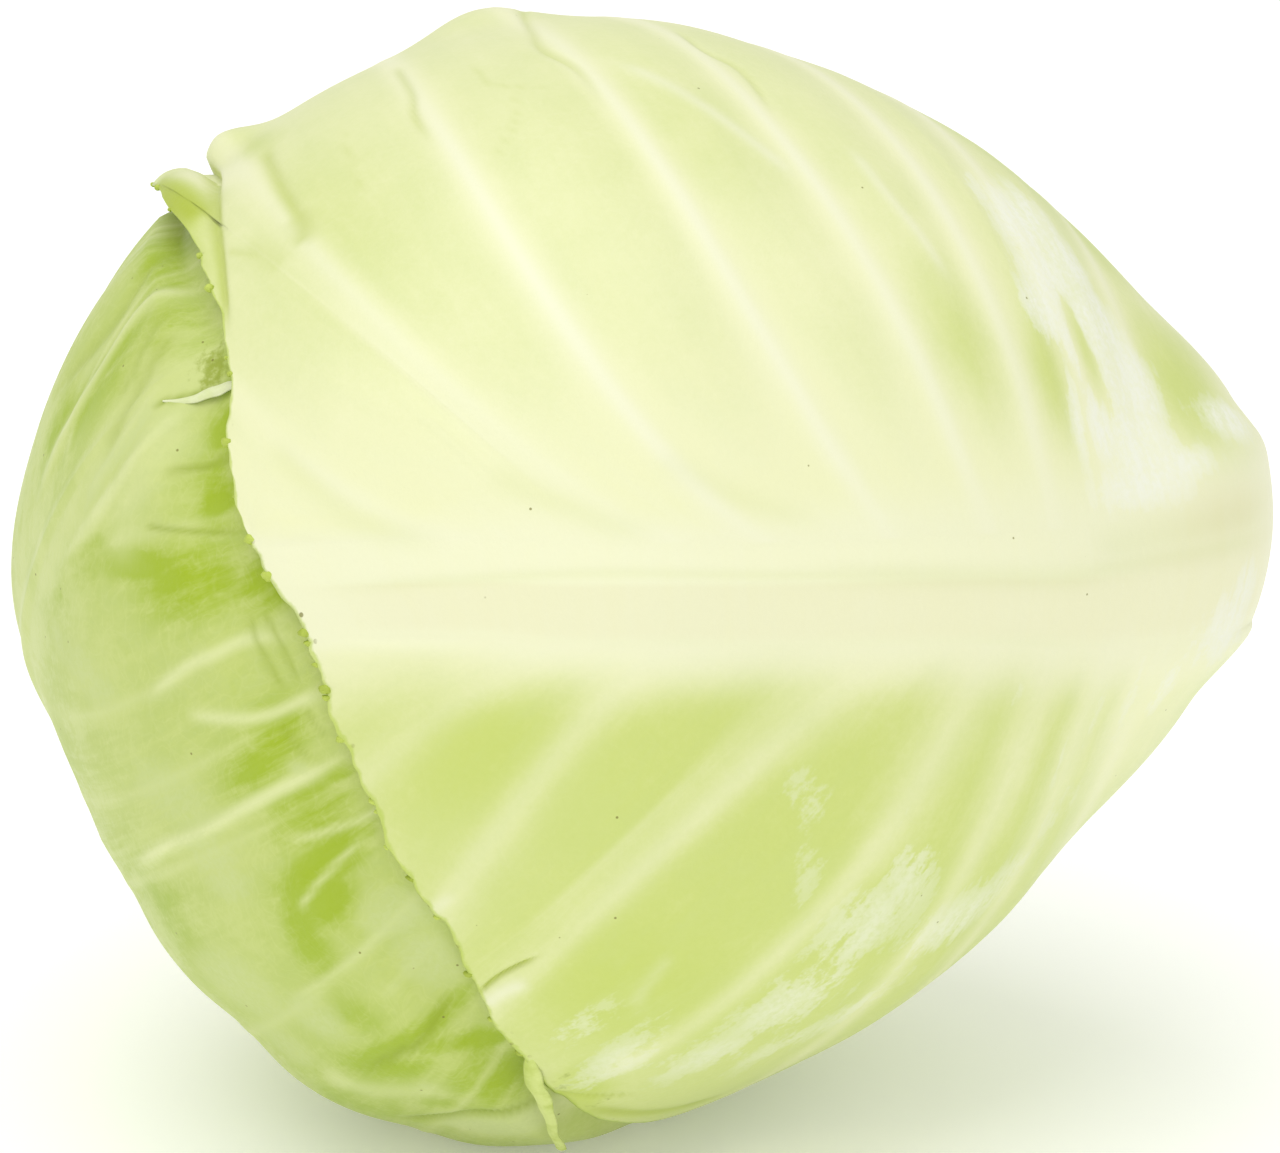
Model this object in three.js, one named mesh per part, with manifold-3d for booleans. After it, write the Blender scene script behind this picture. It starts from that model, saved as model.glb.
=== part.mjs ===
// A head of white cabbage, lying on its side as it was cut: three wrapper leaves folded one
// over another, the dense heart that they close round, and the stem with its cut end.
//
// Head axes, before the head is rolled to its resting place: x runs to the stem, f faces the
// front and u points up across the front. Lengths are millimetres and angles are degrees.
// Every leaf is drawn on its own chart: p runs along its midrib towards the tip, q across it,
// both in degrees of arc over the head, with the chart's centre on the midrib.

import * as THREE from 'three';
import { mergeVertices } from 'three/addons/utils/BufferGeometryUtils.js';
import Module from 'manifold-3d';

// ---------------------------------------------------------------- driving dimensions

const HEAD_ROLL = 18;             // the head lies rolled this far back about its long axis
const REST_LEVEL = -77.6;         // the surface it rests on, below the middle of the head
const ORIGIN = [0.4, -0.6];       // middle of its box along x and y, from the middle of the head

// Distance from the middle of the head to its skin, every 15 degrees from the stem end (0)
// round to the crown (180), over the upper side and under the lower side.
const UPPER_RADIUS = [86, 87.6, 80.8, 78.2, 76.8, 76.8, 79, 80.6, 81.8, 83.4, 85.6, 87.2, 89.2];
const LOWER_RADIUS = [86, 78.4, 71.8, 70.6, 71.2, 73, 77.8, 82, 85.2, 84.8, 84.6, 85.4, 89.2];
const DEPTH_RATIO = 0.98;         // the head is this much as deep, front to back, as it is high

// Lumps and hollows in the skin: [polar from the stem, turn about x, height, spread]
const LUMPS = [
  [106, 88, 3.0, 6],              // shoulder of the front leaf over the top
  [135.5, 84, 3.2, 4],            // knob where the front leaf lifts at its corner
  [108, -88, 1.0, 6],             // bulge beside the torn corner
  [60, 150, 1.8, 22],
  [95, 175, -1.6, 20],
  [125, 205, 1.5, 18],
  [70, 235, -1.4, 18],
  [78, -116, 2.0, 14],            // seat, which brings the rest spot under the weight
];

const HEART_GAP = 1.1;            // air round the heart, besides the gap below the last leaf
const REACH = 3.5;                // a leaf presses the one below this far past its own margin
const FADE = 8;                   // and the leaf below rises to the skin over this much more
const ROWS = 12;                  // rows from the midrib to the margin
const VEIN_COLUMNS = [0, 0.14, 0.5, 0.86];   // columns from one vein to the next, close beside it
const PLAIN_COLUMNS = [0, 0.33, 0.67];
const BAND_ROWS = 2;              // rows across each side of the midrib

const STEM_AXIS = [8, 4.4];       // the stem points this far behind the x axis, and above it
const STEM_RADIUS = 13.2;
const STEM_TIP_RADIUS = 6;
const STEM_INNER = 8;             // where the core starts, from the middle of the head
const STEM_OUTER = 85.5;
const STEM_BEVEL = 1.2;
const STEM_CLEARANCE = 0.5;
const STEM_SIDES = 28;

const HEART_TURNS = 36;
const HEART_BELTS = 20;

// ---------------------------------------------------------------- leaves
// outline: arc from the chart's centre to the margin, every 15 degrees of turn, from the tip
//          round past the q side to the base and back.
// ribs:    from the tip to the base, [start on the midrib, halfway point p and q on the q
//          side, turn at which it meets the margin, the same three on the other side, and
//          whether a vein stands there on the q side and on the other].
// band:    half widths of the midrib on the q side and the other, at the tip, middle and base.
// crest:   q of the midrib's crest, at the tip, middle and base.

const FRONT_LEAF = {
  name: 'front_leaf',
  azimuth: 0,
  polar: 84,
  thickness: 1.3,
  gap: 1.3,
  color: 0xe6eeb4,
  outline: [
    48, 56, 63, 88, 93, 95, 96, 95, 90, 86, 86, 84,
    74, 84, 85, 84, 86, 89, 86, 72, 58, 49.5, 46.5, 45.5,
  ],
  ribs: [
    [42, 45, 1.5, 2, 45, 1.5, 2, false, false],
    [30, 41, 10, 24, 38, -5, -12, true, false],
    [22, 40, 20, 37, 32, -9, -24, false, true],
    [11, 39, 32, 52, 22, -16, -44, true, true],
    [1, 22, 34, 69, 15, -23, -50, true, false],
    [-13, 4, 40, 80, 11, -27, -57, true, true],
    [-25, -12, 45, 88, -3, -43, -71, true, true],
    [-34, -28, 46, 102, -25, -50, -95, true, true],
    [-43, -40, 42, 116, -39, -46, -112, true, true],
    [-52, -54, 34, 135, -53, -32, -135, true, true],
    [-64, -66, 20, 152, -66, -20, -152, false, false],
    [-74, -76.5, 12, 170, -76.5, -12, -170, false, false],
  ],
  band: [[0, 4.5, 9], [0, 9, 11]],
  crest: [2, -2, -2],
  midrib: 4.2,
  vein: 1.2,
  pillow: 0.9,
  curl: 0.7,
  flap: { turn: 42, spread: 4, rise: 4.5, reach: 5 },
  columns: VEIN_COLUMNS,
};

const BACK_LEAF = {
  name: 'back_leaf',
  azimuth: -140,
  polar: 110,
  thickness: 1.2,
  gap: 1.3,
  color: 0xc6d67e,
  outline: [
    122, 119, 116, 109, 102, 92, 82, 80, 84, 88, 96, 103,
    99, 103, 98, 91, 88, 88, 90, 96, 104, 111, 116, 119,
  ],
  ribs: [
    [114, 118, 0, 0, 118, 0, 0, false, false],
    [88, 97, 22, 21, 98, -20, -19, true, true],
    [62, 80, 34, 32, 80, -36, -31, true, true],
    [50, 72, 42, 41, 70, -44, -42, true, true],
    [34, 60, 40, 49, 56, -46, -53, true, true],
    [16, 40, 48, 59, 38, -48, -63, true, true],
    [-6, 16, 50, 73, 14, -50, -77, true, true],
    [-30, -12, 44, 92, -14, -46, -96, true, true],
    [-52, -44, 40, 118, -44, -42, -117, true, true],
    [-72, -68, 30, 140, -68, -32, -139, true, true],
    [-88, -90, 18, 158, -90, -18, -158, false, false],
    [-98.5, -101.5, 12, 169, -101.5, -12, -169, false, false],
  ],
  band: [[0, 5, 9], [0, 5, 9]],
  crest: [0, 0, 0],
  midrib: 4.6,
  vein: 1.1,
  pillow: 1.0,
  curl: 0.9,
  flap: { turn: -60, spread: 12, rise: 1.5, reach: 2 },
  columns: VEIN_COLUMNS,
};

const TOP_LEAF = {
  name: 'top_leaf',
  azimuth: 110,
  polar: 84,
  thickness: 1.1,
  gap: 1.1,
  color: 0xcfdc96,
  outline: [
    98, 97, 94, 90, 86, 82, 80, 80, 81, 83, 83, 80,
    74, 80, 83, 83, 81, 80, 80, 82, 86, 90, 94, 97,
  ],
  ribs: [
    [90, 94, 0, 0, 94, 0, 0, false, false],
    [70, 82, 16, 16, 82, -16, -16, true, true],
    [46, 64, 30, 32, 62, -32, -33, true, true],
    [24, 44, 38, 48, 42, -38, -48, true, true],
    [4, 22, 42, 64, 20, -42, -64, true, true],
    [-16, 0, 42, 84, -2, -42, -84, true, true],
    [-34, -24, 40, 106, -26, -40, -106, true, true],
    [-50, -48, 32, 130, -48, -32, -130, true, true],
    [-64, -66, 20, 150, -66, -20, -150, false, false],
    [-74, -76.5, 12, 170, -76.5, -12, -170, false, false],
  ],
  band: [[0, 5, 9], [0, 5, 9]],
  crest: [0, 0, 0],
  midrib: 4.2,
  vein: 1.1,
  pillow: 0.9,
  curl: 0.3,
  flap: { turn: 0, spread: 1, rise: 0, reach: 0 },
  columns: PLAIN_COLUMNS,
};

const LEAVES = [FRONT_LEAF, BACK_LEAF, TOP_LEAF];   // from the outermost inwards

// ---------------------------------------------------------------- small tools

const rad = THREE.MathUtils.degToRad;
const deg = THREE.MathUtils.radToDeg;

function smooth(from, to, x) {
  return THREE.MathUtils.smoothstep(x, from, to);
}

function catmullRom(a, b, c, d, t) {
  const t2 = t * t;
  const t3 = t2 * t;
  return 0.5 * (2 * b + (c - a) * t + (2 * a - 5 * b + 4 * c - d) * t2 + (3 * b - a - 3 * c + d) * t3);
}

// Value at t on a smooth closed curve through evenly spaced values.
function loopAt(values, t) {
  const n = values.length;
  const i = Math.floor(t);
  const at = (k) => values[(((i + k) % n) + n) % n];
  return catmullRom(at(-1), at(0), at(1), at(2), t - i);
}

// Value at t on a smooth open curve through evenly spaced values.
function lineAt(values, t) {
  const last = values.length - 1;
  const i = Math.min(Math.floor(t), last - 1);
  const at = (k) => {
    const j = i + k;
    if (j < 0) return 2 * values[0] - values[1];
    if (j > last) return 2 * values[last] - values[last - 1];
    return values[j];
  };
  return catmullRom(at(-1), at(0), at(1), at(2), t - i);
}

// ---------------------------------------------------------------- the head's skin

const RING = [...UPPER_RADIUS, ...LOWER_RADIUS.slice(1, -1).reverse()];
const RING_STEP = 360 / RING.length;

function direction(polar, turn) {
  const across = Math.sin(rad(polar));
  return new THREE.Vector3(Math.cos(rad(polar)), across * Math.cos(rad(turn)), across * Math.sin(rad(turn)));
}

const LUMP_AXES = LUMPS.map(([polar, turn]) => direction(polar, turn));

// Distance from the middle of the head to its skin along dir, whose components are x, f, u.
function skinRadius(dir) {
  const polar = deg(Math.acos(THREE.MathUtils.clamp(dir.x, -1, 1)));
  const across = Math.hypot(dir.y, dir.z);
  const rise = across > 0 ? dir.z / across : 0;
  const above = loopAt(RING, polar / RING_STEP);
  const below = loopAt(RING, (360 - polar) / RING_STEP);
  const round = (above + below) / 2 + ((above - below) / 2) * rise;
  const narrowing = 1 - (1 - DEPTH_RATIO) * (1 - rise * rise) * across * across;
  const lump = LUMPS.reduce((sum, [, , height, spread], i) => {
    const arc = deg(LUMP_AXES[i].angleTo(dir));
    return sum + height * Math.exp(-((arc / spread) ** 2));
  }, 0);
  return round * narrowing + lump;
}

// ---------------------------------------------------------------- charts

const STEM_DIR = new THREE.Vector3(
  Math.cos(rad(STEM_AXIS[1])) * Math.cos(rad(STEM_AXIS[0])),
  -Math.sin(rad(STEM_AXIS[0])),
  Math.sin(rad(STEM_AXIS[1])) * Math.cos(rad(STEM_AXIS[0])),
).normalize();
const FRONT_DIR = new THREE.Vector3(0, 1, 0).projectOnPlane(STEM_DIR).normalize();
const TOP_DIR = new THREE.Vector3().crossVectors(STEM_DIR, FRONT_DIR).normalize();

function makeChart(leaf) {
  const turn = rad(leaf.azimuth);
  const polar = rad(leaf.polar);
  const out = FRONT_DIR.clone().multiplyScalar(Math.cos(turn)).addScaledVector(TOP_DIR, Math.sin(turn));
  const across = FRONT_DIR.clone().multiplyScalar(-Math.sin(turn)).addScaledVector(TOP_DIR, Math.cos(turn));
  const centre = STEM_DIR.clone().multiplyScalar(Math.cos(polar)).addScaledVector(out, Math.sin(polar));
  const along = STEM_DIR.clone().multiplyScalar(-Math.sin(polar)).addScaledVector(out, Math.cos(polar));
  return { centre, along, across };
}

for (const leaf of LEAVES) leaf.chart = makeChart(leaf);

function chartToDir(chart, p, q) {
  const arc = Math.hypot(p, q);
  const dir = chart.centre.clone().multiplyScalar(Math.cos(rad(arc)));
  if (arc > 0) {
    const side = Math.sin(rad(arc)) / arc;
    dir.addScaledVector(chart.along, p * side).addScaledVector(chart.across, q * side);
  }
  return dir.normalize();
}

function outlineArc(leaf, turn) {
  return loopAt(leaf.outline, (turn * leaf.outline.length) / 360);
}

// 1 under a leaf, falling to 0 beyond its margin.
function coverAt(leaf, dir) {
  const { centre, along, across } = leaf.chart;
  const arc = deg(centre.angleTo(dir));
  const turn = deg(Math.atan2(across.dot(dir), along.dot(dir)));
  const margin = outlineArc(leaf, turn);
  return 1 - smooth(margin + REACH, margin + REACH + FADE, arc);
}

// How deep below the skin the leaves outside number `layer` press what lies there.
function depthAt(layer, dir) {
  return LEAVES.slice(0, layer).reduce(
    (depth, leaf) => depth + (leaf.thickness + leaf.gap) * coverAt(leaf, dir),
    0,
  );
}

function coveredAt(layer, dir) {
  return Math.max(0, ...LEAVES.slice(0, layer).map((leaf) => coverAt(leaf, dir)));
}

// ---------------------------------------------------------------- rolled to rest

const ROLL_COS = Math.cos(rad(HEAD_ROLL));
const ROLL_SIN = Math.sin(rad(HEAD_ROLL));

// Point at this distance along dir, with the head rolled to rest and flattened where it
// meets the surface; lift is how much of the stack of leaves lies below the point.
function place(dir, distance, lift) {
  const y = -dir.y * ROLL_COS + dir.z * ROLL_SIN;
  const z = dir.y * ROLL_SIN + dir.z * ROLL_COS;
  const floor = REST_LEVEL + lift;
  const r = z < 0 ? Math.min(distance, floor / z) : distance;
  return [dir.x * r - ORIGIN[0], y * r - ORIGIN[1], z * r - REST_LEVEL];
}

// ---------------------------------------------------------------- a leaf

// Chart point on rib number t (0 at the tip), a share v of the way to the margin. side is
// 1 on the q side of the midrib and -1 on the other.
function ribPoint(leaf, t, side, v) {
  const at = (column) => lineAt(leaf.ribs.map((rib) => rib[column]), t);
  const first = side > 0 ? 1 : 4;
  const share = (t / (leaf.ribs.length - 1)) * 2;
  const start = [at(0), lineAt(leaf.crest, share) + side * bandWidth(leaf, side, share)];
  const via = [at(first), at(first + 1)];
  const turn = at(first + 2);
  const arc = outlineArc(leaf, turn) + ragged(turn, leaf.azimuth) + leaf.flap.reach * flapAt(leaf, turn);
  const end = [arc * Math.cos(rad(turn)), arc * Math.sin(rad(turn))];
  return start.map((a, i) => {
    const control = 2 * via[i] - (a + end[i]) / 2;
    return (1 - v) ** 2 * a + 2 * v * (1 - v) * control + v ** 2 * end[i];
  });
}

// 1 at the corner where a margin sticks out and lifts, and 0 away from it.
function flapAt(leaf, turn) {
  return Math.exp(-(((turn - leaf.flap.turn) / leaf.flap.spread) ** 2));
}

function bandWidth(leaf, side, share) {
  return Math.max(0, lineAt(leaf.band[side > 0 ? 0 : 1], share));
}

// Small nicks along a margin, in degrees of arc.
function ragged(turn, seed) {
  return 0.35 * Math.sin(rad(turn * 17 + seed)) + 0.25 * Math.sin(rad(turn * 41 + 2 * seed));
}

// Height of the skin's relief over a rib net: raised veins, and panels that swell between.
function bladeRelief(leaf, t, side, v) {
  const near = Math.round(t);
  const vein = leaf.ribs[near][side > 0 ? 7 : 8];
  const off = Math.abs(t - near);
  const ridge = vein ? leaf.vein * (1 - 0.7 * v) * Math.max(0, 1 - off / leaf.columns[1]) : 0;
  const panel = leaf.pillow * Math.sin(Math.PI * (t - Math.floor(t))) ** 2 * Math.sin(Math.PI * v);
  const root = midribHeight(leaf, t) * 0.35 * (1 - smooth(0, 0.35, v));
  return ridge + panel + root;
}

function midribHeight(leaf, t) {
  return leaf.midrib * smooth(-2, leaf.ribs.length, t);
}

// How far the margin stands off the leaf below.
function curlAt(leaf, t, side, v) {
  const turn = lineAt(leaf.ribs.map((rib) => rib[side > 0 ? 3 : 6]), t);
  const wave = leaf.curl * (0.55 + 0.45 * Math.sin(t * 4.1 + side));
  return wave * smooth(0.85, 1, v) + leaf.flap.rise * flapAt(leaf, turn) * smooth(0.8, 1, v);
}

function buildLeaf(leaf, layer) {
  const columns = [];
  for (let k = 0; k < leaf.ribs.length - 1; k += 1) columns.push(...leaf.columns.map((part) => k + part));
  columns.push(leaf.ribs.length - 1);
  const outer = [];
  const inner = [];
  const ids = new Map();

  function vertex(p, q, relief, curl) {
    const key = `${p.toFixed(5)},${q.toFixed(5)}`;
    if (ids.has(key)) return ids.get(key);
    const dir = chartToDir(leaf.chart, p, q);
    const depth = depthAt(layer, dir);
    const bare = 1 - coveredAt(layer, dir);
    const skin = skinRadius(dir) - depth + curl * bare;
    outer.push(place(dir, skin + relief * bare, depth));
    inner.push(place(dir, skin - leaf.thickness, depth + leaf.thickness));
    ids.set(key, outer.length - 1);
    return outer.length - 1;
  }

  // Each column runs from one margin over the midrib to the other.
  function column(t) {
    const share = (t / (leaf.ribs.length - 1)) * 2;
    const height = midribHeight(leaf, t);
    const line = [];
    for (let r = ROWS; r >= 0; r -= 1) {
      const v = r / ROWS;
      const [p, q] = ribPoint(leaf, t, 1, v);
      line.push(vertex(p, q, bladeRelief(leaf, t, 1, v), curlAt(leaf, t, 1, v)));
    }
    const [top, under] = [ribPoint(leaf, t, 1, 0), ribPoint(leaf, t, -1, 0)];
    const crest = [top[0], lineAt(leaf.crest, share)];
    for (let b = 1; b < 2 * BAND_ROWS; b += 1) {
      const s = b / BAND_ROWS;
      const edge = s < 1 ? top : under;
      const share2 = Math.abs(s - 1);
      const q = crest[1] + (edge[1] - crest[1]) * share2;
      line.push(vertex(crest[0], q, height * (1 - 0.65 * share2 * share2), 0));
    }
    for (let r = 0; r <= ROWS; r += 1) {
      const v = r / ROWS;
      const [p, q] = ribPoint(leaf, t, -1, v);
      line.push(vertex(p, q, bladeRelief(leaf, t, -1, v), curlAt(leaf, t, -1, v)));
    }
    return line;
  }

  const faces = [];
  const lines = columns.map(column);
  for (let c = 0; c + 1 < lines.length; c += 1) {
    for (let r = 0; r + 1 < lines[c].length; r += 1) {
      const [a, b, d, e] = [lines[c][r], lines[c][r + 1], lines[c + 1][r], lines[c + 1][r + 1]];
      if (a !== b) faces.push([a, b, d]);
      if (d !== e) faces.push([b, e, d]);
    }
  }
  return shellFrom(outer, inner, faces);
}

// A closed body between two skins that share one net of triangles.
function shellFrom(outer, inner, faces) {
  const n = outer.length;
  const index = [];
  const edges = new Map();
  for (const [a, b, c] of faces) {
    if (a === b || b === c || a === c) continue;
    index.push(a, b, c, a + n, c + n, b + n);
    for (const [from, to] of [[a, b], [b, c], [c, a]]) {
      const back = `${to},${from}`;
      if (edges.has(back)) edges.delete(back);
      else edges.set(`${from},${to}`, [from, to]);
    }
  }
  for (const [from, to] of edges.values()) {
    index.push(from, from + n, to, to, from + n, to + n);
  }
  const geometry = new THREE.BufferGeometry();
  geometry.setAttribute('position', new THREE.Float32BufferAttribute([...outer, ...inner].flat(), 3));
  geometry.setIndex(index);
  return geometry;
}

// ---------------------------------------------------------------- the heart and the stem

// The tightly packed inner leaves, as one body just inside the wrapper leaves.
function buildHeart() {
  const points = [];
  const index = [];
  const at = (polar, turn) => {
    const dir = direction(polar, turn);
    const depth = depthAt(LEAVES.length, dir) + HEART_GAP;
    return place(dir, skinRadius(dir) - depth, depth);
  };
  points.push(at(0, 0));
  for (let belt = 1; belt < HEART_BELTS; belt += 1) {
    for (let step = 0; step < HEART_TURNS; step += 1) {
      points.push(at((180 * belt) / HEART_BELTS, (360 * step) / HEART_TURNS));
    }
  }
  points.push(at(180, 0));
  const id = (belt, step) => 1 + (belt - 1) * HEART_TURNS + (step % HEART_TURNS);
  const last = points.length - 1;
  for (let step = 0; step < HEART_TURNS; step += 1) {
    index.push(0, id(1, step + 1), id(1, step));
    index.push(last, id(HEART_BELTS - 1, step), id(HEART_BELTS - 1, step + 1));
    for (let belt = 1; belt < HEART_BELTS - 1; belt += 1) {
      const [a, b] = [id(belt, step), id(belt, step + 1)];
      const [c, d] = [id(belt + 1, step), id(belt + 1, step + 1)];
      index.push(a, b, c, b, d, c);
    }
  }
  const geometry = new THREE.BufferGeometry();
  geometry.setAttribute('position', new THREE.Float32BufferAttribute(points.flat(), 3));
  geometry.setIndex(index);
  return geometry;
}

// The core: a blunt cone that widens towards its cut end, grown larger all over by `extra`.
function buildStem(extra) {
  const end = STEM_OUTER + (extra > 0 ? 2 * STEM_RADIUS : 0);
  const profile = [
    [0, STEM_INNER - extra],
    [STEM_TIP_RADIUS * 0.7 + extra, STEM_INNER - extra],
    [STEM_TIP_RADIUS + extra, STEM_INNER + 4],
    [STEM_RADIUS + extra, STEM_OUTER - 26],
    [STEM_RADIUS + extra, end - STEM_BEVEL],
    [STEM_RADIUS - STEM_BEVEL + extra, end],
    [0, end],
  ].map(([r, h]) => new THREE.Vector2(r, h));
  const geometry = new THREE.LatheGeometry(profile, STEM_SIDES);
  const [, y, z] = place(STEM_DIR, 1, 0).map((value, i) => value + [ORIGIN[0], ORIGIN[1], REST_LEVEL][i]);
  const axis = new THREE.Vector3(STEM_DIR.x, y, z).normalize();
  geometry.applyQuaternion(new THREE.Quaternion().setFromUnitVectors(new THREE.Vector3(0, 1, 0), axis));
  geometry.translate(-ORIGIN[0], -ORIGIN[1], -REST_LEVEL);
  return geometry;
}

// ---------------------------------------------------------------- solids

const wasm = await Module();
wasm.setup();

function toSolid(geometry) {
  const bare = geometry.clone();
  bare.deleteAttribute('normal');
  bare.deleteAttribute('uv');
  const merged = mergeVertices(bare, 1e-4);
  return new wasm.Manifold(new wasm.Mesh({
    numProp: 3,
    vertProperties: new Float32Array(merged.attributes.position.array),
    triVerts: new Uint32Array(merged.index.array),
  }));
}

function toGeometry(solid) {
  const { vertProperties, triVerts } = solid.getMesh();
  const geometry = new THREE.BufferGeometry();
  geometry.setAttribute('position', new THREE.Float32BufferAttribute(vertProperties, 3));
  geometry.setIndex([...triVerts]);
  return geometry;
}

function addMesh(group, name, geometry, color, roughness) {
  geometry.computeVertexNormals();
  const material = new THREE.MeshStandardMaterial({ color, roughness, metalness: 0 });
  const mesh = new THREE.Mesh(geometry, material);
  mesh.name = name;
  group.add(mesh);
}

const head = new THREE.Group();
LEAVES.forEach((leaf, layer) => addMesh(head, leaf.name, buildLeaf(leaf, layer), leaf.color, 0.5));
const heart = toSolid(buildHeart()).subtract(toSolid(buildStem(STEM_CLEARANCE)));
addMesh(head, 'heart', toGeometry(heart), 0xf0f2d2, 0.6);
addMesh(head, 'stem', buildStem(0), 0xece6c8, 0.7);

export default head;
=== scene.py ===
"""A head of white cabbage on a pale table: fine leaves, cut stem, soft studio light.

The leaves are drawn from the same named values as the packed solids: the head's skin is a
distance from its middle, each leaf lies on its own chart of that skin, and its ribs are
curves on the chart. Lengths are millimetres until the last step, and angles are degrees.
"""
import math
from types import SimpleNamespace as Record

import bpy
import numpy as np
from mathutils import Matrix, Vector


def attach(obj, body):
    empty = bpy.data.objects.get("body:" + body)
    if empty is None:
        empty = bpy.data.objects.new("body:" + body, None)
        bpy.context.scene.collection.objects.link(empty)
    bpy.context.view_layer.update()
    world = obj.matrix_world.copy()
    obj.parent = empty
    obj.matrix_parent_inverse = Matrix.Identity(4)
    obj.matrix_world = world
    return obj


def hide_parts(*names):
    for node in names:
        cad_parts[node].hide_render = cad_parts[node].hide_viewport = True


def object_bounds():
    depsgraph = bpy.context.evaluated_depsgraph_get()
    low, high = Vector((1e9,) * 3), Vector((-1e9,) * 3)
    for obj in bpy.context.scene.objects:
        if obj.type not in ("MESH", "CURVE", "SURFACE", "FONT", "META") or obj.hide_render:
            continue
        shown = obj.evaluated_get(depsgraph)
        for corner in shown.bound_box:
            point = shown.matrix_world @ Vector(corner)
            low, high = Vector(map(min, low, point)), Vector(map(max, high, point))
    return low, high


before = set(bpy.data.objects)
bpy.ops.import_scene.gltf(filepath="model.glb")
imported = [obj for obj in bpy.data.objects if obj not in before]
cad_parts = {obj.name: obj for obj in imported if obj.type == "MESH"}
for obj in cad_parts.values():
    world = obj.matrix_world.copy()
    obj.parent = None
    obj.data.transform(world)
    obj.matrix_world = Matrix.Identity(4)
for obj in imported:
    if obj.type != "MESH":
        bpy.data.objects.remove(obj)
CAD_LOW, CAD_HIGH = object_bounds()

MM = 0.001
MM_PER_DEGREE = 1.43  # along the skin, near enough everywhere

# ---- the head, as packed

HEAD_ROLL = 18  # how far the head is turned about its length
REST_LEVEL = -77.6  # the flat spot that it rests on, from its middle
ORIGIN = (0.4, -0.6)  # the frame's x and y zero, from its middle
# radius at even steps from the stem end to the crown, over the head and under it
UPPER_RADIUS = [86, 87.6, 80.8, 78.2, 76.8, 76.8, 79, 80.6, 81.8, 83.4, 85.6, 87.2, 89.2]
LOWER_RADIUS = [86, 78.4, 71.8, 70.6, 71.2, 73, 77.8, 82, 85.2, 84.8, 84.6, 85.4, 89.2]
DEPTH_RATIO = 0.98  # the head's half depth over its half height
LUMPS = [  # polar, turn, height in mm, spread in degrees
    (106, 88, 3, 6),
    (133.6, 84, 3.3, 3.4),
    (108, -88, 1, 6),
    (60, 150, 1.8, 22),
    (95, 175, -1.6, 20),
    (125, 205, 1.5, 18),
    (70, 235, -1.4, 18),
    (78, -116, 2, 14),
]
REACH = 3.5  # a leaf presses the one below this far past its margin
FADE = 8  # and then less and less over this arc
STEM_AXIS = (8, 4.4)  # how far the stem points back and up
STEM_RADIUS = 13.2
STEM_OUTER = 85.5
STEM_OUTLINE = [  # distance from the head's middle, radius
    (8.2, 4), (12, 5.9), (24, 7.8), (36, 9.7), (48, 11.5), (60, 13.1), (68, 13.1), (76, 13.1),
    (82, 13.1), (84.4, 13), (85.1, 12.5), (85.3, 11.9), (85.1, 11.2), (84.8, 10.4), (84.9, 9.4),
    (84.7, 8.6), (84.3, 7), (83.9, 5), (83.7, 3), (83.6, 1),
]

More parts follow.
